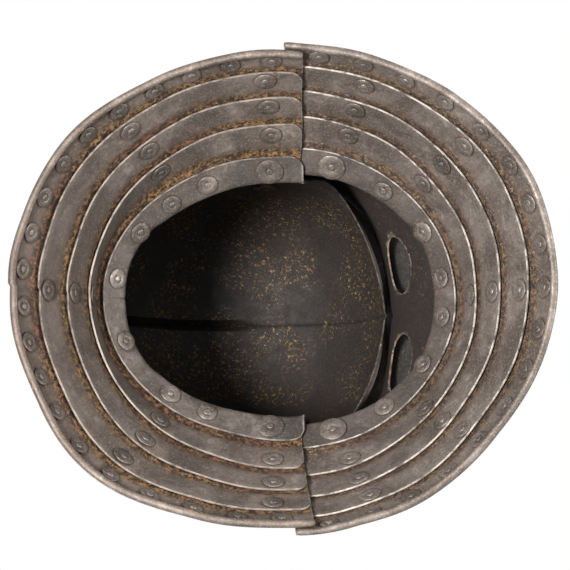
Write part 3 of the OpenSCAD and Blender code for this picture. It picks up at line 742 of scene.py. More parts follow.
def brow_band():
    """A raised band on the left half of the skull, under the guard's upper edge. Its face follows
    the guard's inner face, so the guard still swings past it."""
    rings = []
    near = long_rows(GUARD_N, GUARD_W, [58, 50, 42, 34, 26, 18, 10, 4, 0])
    for f in list(np.linspace(0.26, 0.9, 24)) + near:
        inner = [rib_point(at_angle(q, BROW_REACH + 1), SKULL_W + 0.8, SKULL_N, f) for q in BROW_BAND]
        outer = [rib_point(at_angle(q, GUARD_REACH - 0.7), GUARD_W - 0.7, GUARD_N, f) for q in BROW_BAND]
        rings.append([inner[0], *outer, inner[1]])
    verts, faces = grid(rings, True)
    last = len(verts) - 1
    return facing_out(verts, faces + [(0, 1, 2, 3), (last, last - 1, last - 2, last - 3)])


def guard_sheet():
    """Inner face of the face guard: ribs to a keel in the middle, and the front neck flange."""
    w, n = GUARD_W, GUARD_N
    shorts = np.linspace(1, HALF_TURN, 46)[:-1]
    ribs = [short_rib(ring_left(FRONT, u), w, n) for u in shorts]
    tail, shares = ring_tail(FRONT, FACE_Y, GUARD_MARKS)
    ribs.append(short_rib(ring_left(FRONT, HALF_TURN), w, n) + tail)
    face = long_rows(n, w, FACE_Y)
    for r in guard_line(11)[1:]:
        keel = [unit(r - TEMPLE) * KEEL * max(0, 1 - y / GUARD_MARKS[1]) ** 1.6 for y in FACE_Y]
        rib = [rib_point(r, w, n, f) for f in LOW_ROWS]
        ribs.append(rib + [rib_point(r, w, n, f) + q for f, q in zip(face, keel)])
    shares = sorted(shares) + [HALF_TURN] + list(shorts[::-1])
    left = oriented(joined(fan(ribs, w, False), flange_sheet(FRONT, shares)))
    return oriented(joined(left, mirrored(left)))


def oriented(sheet):
    """Turns the faces of a sheet or a closed form so that they look away from the helmet's middle."""
    verts, faces = sheet
    work = bmesh.new()
    made = [work.verts.new(v) for v in verts]
    for q in faces:
        try:
            work.faces.new([made[i] for i in q])
        except ValueError:
            continue
    bmesh.ops.recalc_face_normals(work, faces=work.faces)
    work.verts.index_update()
    middle = Vector((0, 0, 200))
    side = sum(f.normal.dot(f.calc_center_median() - middle) * f.calc_area() for f in work.faces)
    faces = [tuple(v.index for v in f.verts) for f in work.faces]
    work.free()
    return verts, faces if side > 0 else [tuple(reversed(f)) for f in faces]


def bend_eased(sheet):
    """Rounds the bend from the neck into its flange, as a hammer over a stake leaves it."""
    verts, faces = sheet
    chosen = np.abs(verts[:, 2] - NECK_Z) < BEND_HALF
    return eased(verts, faces, chosen, BEND_PASSES), faces


def turned(profile, sides=64):
    """Closed round form about the left temple's axis, from (half-width, radius) points."""
    a = np.arange(sides) * 2 * math.pi / sides
    rings = [[TEMPLE + [r * math.cos(t), y, r * math.sin(t)] for t in a] for y, r in profile]
    return capped(rings, TEMPLE + [0, profile[0][0], 0], TEMPLE + [0, profile[-1][0], 0])


def temple_discs(w, r, t):
    """A disc with a broken edge on each temple."""
    top = w + t
    left = turned([(w, r - 0.3), (w + 0.3, r), (top - 0.45, r), (top - 0.12, r - 0.15), (top, r - 0.5)])
    return [(disc, DISC_TONE) for disc in (left, mirrored(left))]


EYE_TURNS = ((10, "Z"), (64, "Y"), (8, "Z"))
EYE_SIDES, EYE_DEPTH = 96, 25


def eye_cutter(side):
    """A long oval form that cuts one eye opening, square to the guard at the eyes' height."""
    r = guard_line(3)[14]
    middle = Vector((mix(TEMPLE[0], r[0], 0.97), EYE_SIDE, mix(TEMPLE[2], r[2], 0.97) + 2))
    turn = Matrix.Identity(3)
    for angle, axis in EYE_TURNS:
        turn = turn @ Matrix.Rotation(math.radians(angle), 3, axis)
    rings = []
    for h in (-EYE_DEPTH, EYE_DEPTH):
        rings.append([])
        for i in range(EYE_SIDES):
            a = i * 2 * math.pi / EYE_SIDES
            p = middle + turn @ Vector((EYE_H * math.cos(a), EYE_W * math.sin(a), h))
            rings[-1].append(np.array([p.x, side * p.y, p.z]))
    verts, faces = grid(rings, True)
    faces += [tuple(range(EYE_SIDES)), tuple(range(EYE_SIDES, 2 * EYE_SIDES))]
    return oriented((np.array(verts), faces))


# Rows of the peak from its brim up: (angle over the temples' level, share of the brim, place on the arm)
PEAK_ROWS = [(4, 1, -0.5), (5, 0.72, -0.32), (6.5, 0.36, -0.14), (9, 0.06, 0.04), (16, 0, 0.25), (23, 0, 0.5)]


def peak_sheet():
    """Inner face of the peak: a brim over the brow that runs back into two arms."""
    w = PEAK_W
    near = long_rows(GUARD_N, w, [58, 52, 46, 40, 34, 28, 23, 18, 13, 9, 5, 2, 0])
    slope = math.radians(BRIM_SLOPE)
    down = np.array([math.cos(slope), 0, -math.sin(slope)])
    rows = []
    for turn, brim, arm in curve(PEAK_ROWS, 5):
        out = max(0.0, brim) * PEAK_OUT * down
        start = TEMPLE + [0, 0, arm * PEAK_ARM]
        half = []
        for f in list(np.linspace(0, 0.88, 28)) + near:
            p = rib_point(at_angle(turn, PEAK_REACH), w, GUARD_N, f, start)
            half.append(p + out * smooth((f - 0.45) / 0.55))
        rows.append(half + [p * [1, -1, 1] for p in half[-2::-1]])
    verts, faces = grid(rows)
    return oriented((np.array(verts), faces))


# Hand work on the small iron: lumps per metre, each 4.8 mm, how far they push in mm, and how much the
# sizes of rivets and washers vary
LUMPS, UNEVEN = 210.0, 0.5
RIVET_SPREAD, WASHER_SPREAD, WASHER_SEED = 0.14, 0.05, 20


# Nodes
def add(tree, kind, inputs=None, **settings):
    """Adds a node with its settings; an input is a value or a socket to link from."""
    made = tree.nodes.new(kind)
    for key, value in settings.items():
        setattr(made, key, value)
    for key, value in (inputs or {}).items():
        if isinstance(value, bpy.types.NodeSocket):
            tree.links.new(value, made.inputs[key])
        else:
            made.inputs[key].default_value = value
    return made


def product(tree, *factors):
    """Product of factors, each a number, a socket or (socket, low, high) for a soft step from 0 to 1."""
    whole = None
    for factor in factors:
        if isinstance(factor, tuple):
            step = dict(enumerate(factor))
            step = add(tree, "ShaderNodeMapRange", step, interpolation_type="SMOOTHSTEP")
            factor = step.outputs[0]
        if whole is None:
            whole = factor
        else:
            whole = add(tree, "ShaderNodeMath", {0: whole, 1: factor}, operation="MULTIPLY").outputs[0]
    return whole


def weighted_sum(tree, value, parts, clamp=False):
    """A value and, on top of it, each part times its weight."""
    for part, weight in parts:
        sum_of = {0: part, 1: weight, 2: value}
        value = add(tree, "ShaderNodeMath", sum_of, operation="MULTIPLY_ADD", use_clamp=clamp).outputs[0]
    return value


def new_tree(name, sizes):
    """A geometry tree with one named input for each size, a seed and a material."""
    tree = bpy.data.node_groups.new(name, "GeometryNodeTree")
    tree.interface.new_socket("Geometry", in_out="INPUT", socket_type="NodeSocketGeometry")
    for key in sizes:
        made = tree.interface.new_socket(key, in_out="INPUT", socket_type="NodeSocketFloat")
        made.subtype = "DISTANCE"
    tree.interface.new_socket("Seed", in_out="INPUT", socket_type="NodeSocketInt")
    tree.interface.new_socket("Material", in_out="INPUT", socket_type="NodeSocketMaterial")
    tree.interface.new_socket("Geometry", in_out="OUTPUT", socket_type="NodeSocketGeometry")
    return tree, tree.nodes.new("NodeGroupInput").outputs


def finish_tree(tree, given, parts):
    """Joins the parts, makes them uneven, gives them their material and ends the tree."""
    whole = add(tree, "GeometryNodeJoinGeometry")
    for part in parts:
        tree.links.new(part, whole.inputs[0])
    real = add(tree, "GeometryNodeRealizeInstances", {0: whole.outputs[0]})
    place = add(tree, "GeometryNodeInputPosition")
    lumps = {"Vector": place.outputs[0], "W": given["Seed"], "Scale": LUMPS, "Detail": 2.0}
    rough = add(tree, "ShaderNodeTexNoise", lumps, noise_dimensions="4D")
    both_ways = {0: rough.outputs["Color"], 1: (0.5, 0.5, 0.5)}
    push = add(tree, "ShaderNodeVectorMath", both_ways, operation="SUBTRACT").outputs[0]
    shift = add(tree, "ShaderNodeVectorMath", {0: push, "Scale": UNEVEN * MM}, operation="SCALE")
    moved = add(tree, "GeometryNodeSetPosition", {"Geometry": real.outputs[0], "Offset": shift.outputs[0]})
    soft = add(tree, "GeometryNodeSetShadeSmooth", {0: moved.outputs[0]})
    coat = add(tree, "GeometryNodeSetMaterial", {"Geometry": soft.outputs[0], "Material": given["Material"]})
    out = tree.nodes.new("NodeGroupOutput")
    tree.links.new(coat.outputs[0], out.inputs[0])
    return tree


def read_points(tree, *names):
    """The points' facing and, after it, their numbers of these names."""
    found = []
    for key in ("facing",) + names:
        kind = "FLOAT_VECTOR" if key == "facing" else "FLOAT"
        found.append(add(tree, "GeometryNodeInputNamedAttribute", {"Name": key}, data_type=kind).outputs[0])
    return found


def set_on_points(tree, given, facing, lift, form, size):
    """Puts a form on every point, lifted along its facing and stretched to its size."""
    turn = add(tree, "FunctionNodeAlignRotationToVector", {"Vector": facing}, axis="Z").outputs[0]
    along = add(tree, "ShaderNodeVectorMath", {0: facing, "Scale": lift}, operation="SCALE").outputs[0]
    points = add(tree, "GeometryNodeSetPosition", {"Geometry": given["Geometry"], "Offset": along})
    place = {"Points": points.outputs[0], "Instance": form, "Rotation": turn, "Scale": size}
    return add(tree, "GeometryNodeInstanceOnPoints", place)


def rivet_tree():
    """Rivets on points: a hammered round head outside, the shank, and the peened end inside."""
    sizes = ("Head Diameter", "Head Height", "Shank Diameter", "Peened Diameter", "Peened Height")
    tree, given = new_tree("rivets", sizes)
    facing, grip, under, headed = read_points(tree, "grip", "under", "headed")
    has_head = add(tree, "ShaderNodeMath", {0: headed, 1: 0.5}, operation="GREATER_THAN").outputs[0]
    spread = {2: 1 - RIVET_SPREAD, 3: 1 + RIVET_SPREAD, "Seed": given["Seed"]}
    spin = add(tree, "FunctionNodeRandomValue", spread, data_type="FLOAT").outputs[1]
    depth = product(tree, under, -1.0)
    parts = []
    for lift, end, side in ((grip, "Head", 1.0), (depth, "Peened", -1.0)):
        # A ball of one unit, cut off just under its middle and pressed flat on top
        ball = add(tree, "GeometryNodeMeshUVSphere", {"Segments": 22, "Rings": 12, "Radius": 0.5})
        at = add(tree, "GeometryNodeInputPosition").outputs[0]
        place = add(tree, "ShaderNodeSeparateXYZ", {0: at}).outputs
        half = add(tree, "ShaderNodeMath", {0: place["Z"], 1: -0.02}, operation="MAXIMUM").outputs[0]
        low = add(tree, "ShaderNodeMath", {0: half, 1: 0.43, 2: 0.12}, operation="SMOOTH_MIN").outputs[0]
        tall = product(tree, low, 2.2 * side)
        dome = add(tree, "ShaderNodeCombineXYZ", {"X": place["X"], "Y": place["Y"], "Z": tall}).outputs[0]
        shaped = add(tree, "GeometryNodeSetPosition", {"Geometry": ball.outputs["Mesh"], "Position": dome})
        wide, high = given[f"{end} Diameter"], given[f"{end} Height"]
        size = add(tree, "ShaderNodeCombineXYZ", {"X": wide, "Y": wide, "Z": high}).outputs[0]
        uneven = add(tree, "ShaderNodeVectorMath", {0: size, "Scale": spin}, operation="SCALE").outputs[0]
        put = set_on_points(tree, given, facing, lift, shaped.outputs[0], uneven)
        if end == "Head":
            tree.links.new(has_head, put.inputs["Selection"])
        parts.append(put.outputs[0])
    rod = add(tree, "GeometryNodeMeshCylinder", {"Vertices": 16, "Radius": 0.5, "Depth": 1.0}).outputs[0]
    whole = add(tree, "ShaderNodeMath", {0: grip, 1: under}, operation="ADD").outputs[0]
    across = given["Shank Diameter"]
    size = add(tree, "ShaderNodeCombineXYZ", {"X": across, "Y": across, "Z": whole}).outputs[0]
    mid = add(tree, "ShaderNodeMath", {0: grip, 1: under}, operation="SUBTRACT").outputs[0]
    parts.append(set_on_points(tree, given, facing, product(tree, mid, 0.5), rod, size).outputs[0])
    return finish_tree(tree, given, parts)


def washer_tree():
    """Punched washers on points, under the peened ends of the rivets, with a turned ring on each face."""
    tree, given = new_tree("washers", ("Diameter", "Hole", "Thickness"))
    facing, below, size = read_points(tree, "below", "size")
    outer, hole = given["Diameter"], given["Hole"]
    both = add(tree, "ShaderNodeMath", {0: outer, 1: hole}, operation="ADD").outputs[0]
    reach = product(tree, both, 0.25)
    wide = add(tree, "ShaderNodeMath", {0: outer, 1: hole}, operation="SUBTRACT").outputs[0]
    wide = product(tree, wide, 0.5)
    ring = add(tree, "GeometryNodeCurvePrimitiveCircle", {"Resolution": 36, "Radius": reach}).outputs[0]
    section = {"Width": wide, "Height": given["Thickness"]}
    strip = add(tree, "GeometryNodeCurvePrimitiveQuadrilateral", section).outputs[0]
    soft = add(tree, "GeometryNodeFilletCurve", {"Curve": strip, "Radius": 0.25 * MM}).outputs[0]
    form = add(tree, "GeometryNodeCurveToMesh", {"Curve": ring, "Profile Curve": soft}).outputs[0]
    form = add(tree, "GeometryNodeSubdivideMesh", {"Mesh": form, "Level": 1}).outputs[0]
    # The ring halfway between hole and rim sinks by about half of the washer's half thickness
    at = add(tree, "ShaderNodeSeparateXYZ", {0: add(tree, "GeometryNodeInputPosition").outputs[0]}).outputs
    flat = add(tree, "ShaderNodeCombineXYZ", {"X": at["X"], "Y": at["Y"]}).outputs[0]
    out = add(tree, "ShaderNodeVectorMath", {0: flat}, operation="LENGTH").outputs["Value"]
    ringed = add(tree, "ShaderNodeMath", {0: out, 1: reach, 2: 0.6 * MM}, operation="COMPARE").outputs[0]
    sunk = add(tree, "ShaderNodeCombineXYZ", {"Z": product(tree, ringed, at["Z"], -0.55)}).outputs[0]
    form = add(tree, "GeometryNodeSetPosition", {"Geometry": form, "Offset": sunk}).outputs[0]
    spread = {2: 1 - WASHER_SPREAD, 3: 1 + WASHER_SPREAD, "Seed": given["Seed"]}
    spin = add(tree, "FunctionNodeRandomValue", spread, data_type="FLOAT").outputs[1]
    size = product(tree, size, spin)
    scale = add(tree, "ShaderNodeCombineXYZ", {"X": size, "Y": size, "Z": 1.0}).outputs[0]
    put = set_on_points(tree, given, facing, product(tree, below, -1.0), form, scale)
    return finish_tree(tree, given, [put.outputs[0]])


def on_points(name, rows, tree, values, body, node):
    """Runs a tree on the rivets' places and makes the result a plain mesh that rides on a body."""
    mesh = bpy.data.meshes.new(name)
    mesh.from_pydata((forged([r.pop("place") for r in rows]) * MM).tolist(), [], [])
    for key in rows[0]:
        kind, field = ("FLOAT_VECTOR", "vector") if key == "facing" else ("FLOAT", "value")
        layer = mesh.attributes.new(key, kind, "POINT")
        layer.data.foreach_set(field, np.array([r[key] for r in rows], np.float32).reshape(-1))
    made = bpy.data.objects.new(name, mesh)
    bpy.context.scene.collection.objects.link(made)
    change = made.modifiers.new("nodes", "NODES")
    change.node_group = tree
    for item in tree.interface.items_tree:
        if item.in_out == "INPUT" and item.name in values:
            change[item.identifier] = values[item.name]
    settle(made)
    set_tone(made.data, PLAIN_TONE * len(made.data.vertices))
    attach(made, body)
    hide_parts(node)
    return made


# Materials
def linear(code):
    """Linear colour of an sRGB hex code."""
    parts = [int(code[i : i + 2], 16) / 255 for i in (1, 3, 5)]
    return [c / 12.92 if c <= 0.04045 else ((c + 0.055) / 1.055) ** 2.4 for c in parts] + [1.0]


# Patterns of old hammered iron, as (size in mm, detail, roughness, distortion) of a noise. Real grit and
# crumbs are 0.2 to 0.5 mm wide, too fine to show, so they are drawn at 1.5 and 2 mm.
PATTERNS = {
    "clouds": (34, 6, 0.62, 0.4),  # patches of patina, 2 to 4 cm wide
    "streaks": (9, 5, 0.65, 0.3),  # places that cloths and fingertips rubbed, about 1 cm wide
    "grains": (2.2, 3, 0.7, 0.0),  # dark pits, 1 to 3 mm
    "spots": (3.4, 4, 0.78, 0.0),  # rust spots, 2 to 5 mm
    "fields": (48, 2, 0.5, 0.0),  # stretches of 5 cm with more rust, and with less
    "grit": (1.5, 2, 0.8, 0.0),  # pitted grain, drawn coarser than real
    "crumbs": (2.0, 3, 0.8, 0.0),  # pale crust in the laps, drawn coarser than real
    "tints": (70, 1, 0.55, 0.0),  # redder rust over a hand's breadth, 7 cm
    "specks": (2.6, 5, 0.85, 0.0),  # ochre specks in the bowl, 1 to 3 mm
}
BLOW = 13.0  # mm between the blows of a planishing hammer


def iron(name, look):
    """Wrought iron that was hammered out cold, planished and left bare for centuries. The eye gets
    shallow dents, a patchy brown-grey patina, rust and painted shade where plates lap, painted shade
    inside, and worn bare edges, brightened by a painted highlight."""
    made = bpy.data.materials.new(name)
    made.use_nodes = True
    tree = made.node_tree
    tree.nodes.clear()
    worn, patina, dark, rust = [(*c, 1.0) for c in user_colours()]
    at = add(tree, "ShaderNodeTexCoord").outputs["Object"]
    back = add(tree, "ShaderNodeSeparateXYZ", {0: at}).outputs["X"]
    tone = add(tree, "ShaderNodeAttribute", attribute_name="tone").outputs
    edge, near, within = add(tree, "ShaderNodeSeparateColor", {0: tone["Color"]}).outputs
    under = tone["Alpha"]
    found = {}
    for key, (size, detail, rough, twist) in PATTERNS.items():
        noise = {"Vector": at, "Scale": 1000 / size, "Detail": detail}
        noise.update({"Roughness": rough, "Distortion": twist})
        found[key] = add(tree, "ShaderNodeTexNoise", noise).outputs[0]
    clouds, streaks, grains, spots, fields, grit, crumbs, tints, specks = found.values()

    # Painted shade of the inside: the inside tone times the finish's share of it; it also makes the iron
    # duller
    dull = product(tree, within, look.inside)
    bowl = product(tree, (within, 0.7, 1.0))
    # Rust: in spots all over, round the rivets and most where a plate runs in under the one above
    damp = weighted_sum(tree, product(tree, under, look.lap_rust), [(near, 0.25)], clamp=True)
    lap = product(tree, damp, (spots, 0.44, 0.6))
    open_rust = product(tree, (spots, 0.6, 0.68), (fields, 0.45, 0.6))
    both = weighted_sum(tree, lap, [(open_rust, 1.0)], clamp=True)
    rusty = product(tree, both, look.rust_amount)
    redder = {0: product(tree, (tints, 0.52, 0.62)), 6: rust, 7: linear(look.red_code)}
    rust_colour = add(tree, "ShaderNodeMix", redder, data_type="RGBA").outputs[2]
    # Edges that hands and neighbours rubbed bare, with a painted highlight where their colour is bright; in
    # the bowl they are toned down as painted shade
    clean = weighted_sum(tree, 1.0, [(bowl, -look.edge_dirt)])
    bare = product(tree, (edge, 0.3, 0.85), (streaks, 0.34, 0.6), clean)
    colour = dark
    for coat, factors in (
        (patina, [(clouds, 0.38, 0.64)]),
        (worn, [(streaks, 0.5, 0.68), (clouds, 0.42, 0.62)]),
        (dark, [(grains, 0.5, 0.66), 0.65]),
        (worn, [(grit, 0.5, 0.72), 0.6]),
        # Deeper and browner towards the back of the neck
        (linear("#40352E"), [(back, -0.1, -0.152), 0.55]),
        # Painted shade inside, with paler grit, and a near-black painted shadow at the back of the bowl
        (linear(look.inside_code), [dull]),
        (linear("#57493F"), [(grit, 0.48, 0.66), dull, 0.22]),
        (linear("#0C0A09"), [bowl, (back, 0.0, -0.07), look.inside * 0.6]),
        # Painted shade under the laps and a painted shadow ring round the washers, then pale crust in the
        # laps
        (linear("#2A1F18"), [(under, 0.04, look.lap_full), look.lap_dirt]),
        (linear("#2F2721"), [(near, 0.5, 0.64), 0.45]),
        (linear(look.crust_code),
         [(crumbs, 0.55, 0.63), (under, 0.22, 0.5), (fields, 0.4, 0.55), look.lap_rust * 0.7]),
        (rust_colour, [rusty]),
        (linear("#A9854A"), [(specks, 0.565, 0.62), (fields, 0.42, 0.56), bowl, look.speckle]),
        # Worn edges, their brighter colour partly a painted highlight
        (linear(look.edge_code), [bare, 0.8]),
    ):
        layer = {0: product(tree, *factors), 6: colour, 7: coat}
        colour = add(tree, "ShaderNodeMix", layer, data_type="RGBA").outputs[2]
    rubbed = {0: streaks, 1: 0.35, 2: 0.7, 3: look.roughness + 0.1, 4: look.roughness - 0.08}
    matt = add(tree, "ShaderNodeMapRange", rubbed).outputs[0]
    matt = weighted_sum(tree, matt, [(rusty, 0.3), (dull, 0.2), (bare, 0.2)], clamp=True)
    # Rust, the painted shade inside and scoured edges hide the metal's shine
    metal = weighted_sum(tree, look.metal, [(rusty, -0.9 * look.metal)])
    hidden = add(tree, "ShaderNodeMath", {0: dull, 1: bare}, operation="MAXIMUM").outputs[0]
    metal = product(tree, metal, weighted_sum(tree, 1.0, [(hidden, -0.7)]))
    dent = {"Vector": at, "Scale": 1000 / BLOW, "Smoothness": 0.8}
    blows = add(tree, "ShaderNodeTexVoronoi", dent, feature="SMOOTH_F1").outputs[0]
    rise = weighted_sum(tree, product(tree, blows, look.dents), [(streaks, 0.18), (grit, 0.1)])
    fine = add(tree, "ShaderNodeBump", {"Height": spots, "Strength": 0.35, "Distance": 0.25 * MM}).outputs[0]
    bump = {"Height": rise, "Strength": 0.8, "Distance": 1.2 * MM, "Normal": fine}
    bump = add(tree, "ShaderNodeBump", bump).outputs[0]
    surface = {"Base Color": colour, "Metallic": metal, "Roughness": matt, "Normal": bump}
    surface = add(tree, "ShaderNodeBsdfPrincipled", surface)
    add(tree, "ShaderNodeOutputMaterial", {0: surface.outputs[0]})
    return made


class Look:
    """How one finish of the iron differs from the usual one."""

    roughness, metal, dents = 0.5, 0.45, 0.5
    # The inside share with its colour and the lap amounts set painted shade; the edge colour is of worn
    # edges, with a painted highlight where it is bright
    rust_amount, lap_rust, lap_dirt, lap_full = 0.75, 0.9, 0.75, 0.95
    inside, speckle, edge_dirt = 0.15, 0.0, 0.0
    edge_code, inside_code = "#8F867D", "#5A514B"
    red_code, crust_code = "#74503A", "#AB9A86"

    def __init__(self, **own):
        for key, value in own.items():
            setattr(self, key, value)


FINISHES = {
    # The palest plates: little rust, and bright worn lower edges, made brighter by a painted highlight
    "hammered_wrought_iron_front_lames": Look(
        rust_amount=0.65, lap_rust=0.8, lap_dirt=0.9, edge_code="#CFC6BC"),
    # Damp got in at the nape: broad brown bands of rust and crust in the laps, deep painted shade under them,
    # and plain worn edges without a painted highlight
    "hammered_wrought_iron_rear_lames": Look(
        rust_amount=0.95, lap_rust=0.88, lap_dirt=0.95, lap_full=0.65,
        edge_code="#92887E", red_code="#714B34", crust_code="#A08258"),
    # Painted shade makes it nearly black inside, with a scatter of ochre specks
    "hammered_wrought_iron_skull": Look(
        roughness=0.55, metal=0.35, rust_amount=0.5, speckle=0.75, edge_dirt=0.6,
        inside_code="#1B1512", inside=0.97),
    # As dark inside with painted shade, but smoother, so that its inner face still catches some light
    "hammered_wrought_iron_guard": Look(
        roughness=0.52, metal=0.35, edge_code="#CFC6BC", edge_dirt=0.8,
        inside_code="#1F1816", inside=0.95),
    # Painted shade makes the underside behind the eye openings nearly black
    "hammered_wrought_iron_peak": Look(roughness=0.6, metal=0.3, inside_code="#120F0D", inside=1.0),
    # Small blows of the hammer only, rubbed a little brighter than the plates
    "forged_iron_rivets": Look(roughness=0.42, metal=0.5, rust_amount=0.4, inside=0.0, dents=0.2),
    # Flat from the punch, with a soft grey sheen
    "punched_sheet_iron_washers": Look(roughness=0.46, metal=0.5, rust_amount=0.35, inside=0.0, dents=0.2),
    # Forged and filed, smooth where they turn
    "forged_iron_pivots": Look(roughness=0.42, metal=0.5, rust_amount=0.4, inside=0.0, dents=0.3),
}


def finish(name):
    """One of the finishes, which is made when it is first asked for."""
    return bpy.data.materials.get(name) or iron(name, FINISHES[name])


def coat(target, name):
    target.data.materials.clear()
    target.data.materials.append(finish(name))


# Sizes and colours that a user may change
LENGTH = {"subtype": "DISTANCE", "unit": "LENGTH"}


class HelmetSizes(bpy.types.PropertyGroup):
    head_d: FloatProperty(
        name="Rivet heads", description="Diameter of the round heads outside", default=9 * MM, **LENGTH)
    head_h: FloatProperty(
        name="Head height", description="Height of the round heads", default=2.4 * MM, **LENGTH)
    shank_d: FloatProperty(
        name="Shanks", description="Diameter of the rivets' shanks", default=3.6 * MM, **LENGTH)
    peen_d: FloatProperty(
        name="Peened ends", description="Diameter of the peened ends inside", default=5.0 * MM, **LENGTH)
    peen_h: FloatProperty(
        name="Peen height", description="Height of the peened ends", default=0.7 * MM, **LENGTH)
    washer_d: FloatProperty(
        name="Washers", description="Diameter of the washers", default=14.2 * MM, **LENGTH)
    washer_t: FloatProperty(
        name="Washer thickness", description="Thickness of the washers", default=0.8 * MM, **LENGTH)
    seed: IntProperty(name="Seed", description="Seed of the rivets' uneven shapes", default=7)


class HelmetColours(bpy.types.PropertyGroup):
    worn: FloatVectorProperty(
        name="Worn iron", description="Patches rubbed lighter", subtype="COLOR",
        default=linear("#9B9189")[:3])
    patina: FloatVectorProperty(
        name="Patina", description="Brown-grey of the old surface", subtype="COLOR",
        default=linear("#786E67")[:3])
    dark: FloatVectorProperty(
        name="Dark patina", description="Darkest brown of the hollows", subtype="COLOR",
        default=linear("#4F4741")[:3])
    rust: FloatVectorProperty(
        name="Rust", description="Orange-brown rust in overlaps and round rivets", subtype="COLOR",
        default=linear("#80603C")[:3])


def user_colours():
    c = bpy.context.scene.helmet_colours
    return c.worn, c.patina, c.dark, c.rust


class HELMET_OT_lames(bpy.types.Operator):
    """Make the four front and four rear lames of the gorget"""

    bl_idname = "helmet.lames"
    bl_label = "Lames"

    def execute(self, context):
        for d, side in ((FRONT, "front"), (REAR, "rear")):
            for k in range(1, LAMES + 1):
                verts, faces, rows = lame_sheet(d, k)
                rolls = [(bead(d, rows), ROLL_TONE)] if k == LAMES else []
                made = plate(f"{side}_plate_{k}", (verts, faces), solids=rolls, upper=edge_z(k - 1))
                coat(made, f"hammered_wrought_iron_{side}_lames")
                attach(made, f"{side}_{k}")
                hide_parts(f"{side}_lame_{k}")
        return {"FINISHED"}


class HELMET_OT_skull(bpy.types.Operator):
    """Make the two halves of the skull with their halves of the hollow comb"""

    bl_idname = "helmet.skull"
    bl_label = "Skull"

    def execute(self, context):
        sheet, band = bend_eased(skull_sheet()), brow_band()
        for side in ("left", "right"):
            if side == "right":
                sheet, band = mirrored(sheet), mirrored(band)
            on_crest = [abs(y) < FOLD and z > NECK_Z + 1 for _, y, z in sheet[0]]
            crest = [CREST * comb_rise(p) if on else 0.0 for p, on in zip(sheet[0], on_crest)]
            made = plate(f"skull_half_{side}", sheet, extra=crest, seamed=True,
                         solids=[(band, BAND_TONE)])
            coat(made, "hammered_wrought_iron_skull")
            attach(made, "skull")
            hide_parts(f"skull_{side}")
        return {"FINISHED"}


class HELMET_OT_guard(bpy.types.Operator):
    """Make the face guard with its two eye openings"""

    bl_idname = "helmet.guard"
    bl_label = "Face guard"

    def execute(self, context):
        made = plate("guard_face", bend_eased(guard_sheet()), cuts=[eye_cutter(1), eye_cutter(-1)],
                     solids=temple_discs(GUARD_W, 18, PLATE_T + 0.1))
        coat(made, "hammered_wrought_iron_guard")
        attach(made, "guard")
        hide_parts("face_guard")
        return {"FINISHED"}


class HELMET_OT_peak(bpy.types.Operator):
    """Make the peak over the brow, on its two arms"""

    bl_idname = "helmet.peak"
    bl_label = "Peak"

    def execute(self, context):
        made = plate("peak_plate", peak_sheet(), solids=temple_discs(PEAK_W - 0.1, 13, PLATE_T + 0.2))
        coat(made, "hammered_wrought_iron_peak")
        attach(made, "peak")
        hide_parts("peak")
        return {"FINISHED"}


def holders():
    """(direction, plate, body, rivets' node, washers' node) of every set of rivets."""
    for d, side, body, first in ((FRONT, "front", "guard", "face_guard"), (REAR, "rear", "skull", "skull")):
        yield d, 0, body, f"{first}_rivets", f"{first}_washers"
        for k in range(1, LAMES):
            yield d, k, f"{side}_{k}", f"{side}_rivets_{k}", f"{side}_washers_{k}"
        yield d, LAMES, f"{side}_{LAMES}", f"{side}_lining_rivets", f"{side}_lining_washers"


class HELMET_OT_rivets(bpy.types.Operator):
    """Set the rivets of every plate"""

    bl_idname = "helmet.rivets"
    bl_label = "Rivets"

    def execute(self, context):
        s = context.scene.helmet_sizes
        tree = rivet_tree()
        values = {"Head Diameter": s.head_d, "Head Height": s.head_h, "Shank Diameter": s.shank_d,
                  "Peened Diameter": s.peen_d, "Peened Height": s.peen_h,
                  "Material": finish("forged_iron_rivets")}
        for d, k, body, node, _ in holders():
            rows = [{"place": r.place, "facing": r.facing, "grip": r.grip * MM, "headed": r.headed,
                     "under": r.gap * MM + s.washer_t} for r in rivets_of(d, k)]
            values["Seed"] = s.seed + k
            on_points(f"{node}_forged", rows, tree, values, body, node)
        return {"FINISHED"}


class HELMET_OT_washers(bpy.types.Operator):
    """Set a washer under the peened end of each rivet"""

    bl_idname = "helmet.washers"
    bl_label = "Washers"

    def execute(self, context):
        s = context.scene.helmet_sizes
        tree = washer_tree()
        values = {"Diameter": s.washer_d, "Hole": s.shank_d, "Thickness": s.washer_t,
                  "Material": finish("punched_sheet_iron_washers")}
        for d, k, body, _, node in holders():
            rows = [{"place": r.place, "facing": r.facing, "size": r.size,
                     "below": r.gap * MM + s.washer_t / 2} for r in rivets_of(d, k)]
            values["Seed"] = s.seed + WASHER_SEED + k
            on_points(f"{node}_punched", rows, tree, values, body, node)
        return {"FINISHED"}


class HELMET_OT_temples(bpy.types.Operator):
    """Give the pivots, spacers and nut plates of the temples their iron"""

    bl_idname = "helmet.temples"
    bl_label = "Temple pivots"

    def execute(self, context):
        for node in ("temple_pivots", "temple_spacers", "temple_nut_plates"):
            coat(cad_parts[node], "forged_iron_pivots")
        return {"FINISHED"}


# Stage
LAMPS = {  # place, what it looks at, size in metres, watts
    "key": ((-0.5, 0.08, -1.22), (0, 0, 0.1), 0.3, 44),
    "fill": ((1.3, -0.1, -0.5), (0, 0, 0.03), 1.0, 22),
    "top": ((0.5, -0.8, 1.4), (0, 0, 0.2), 1.0, 30),
    "back": ((-0.9, 0.9, 1.0), (0, 0, 0.2), 1.0, 16),
}
SOFT_LIGHT = 0.34
FLOOR_HALF, FLOOR_Z = 6.0, -0.0006
PAPER_NEAR, PAPER_FAR = 0.35, 1.1  # metres from the middle over which the paper turns to plain white
EYE = Vector((0, 0.127, -1.294))
LENS, SENSOR = 128.3, 36.0


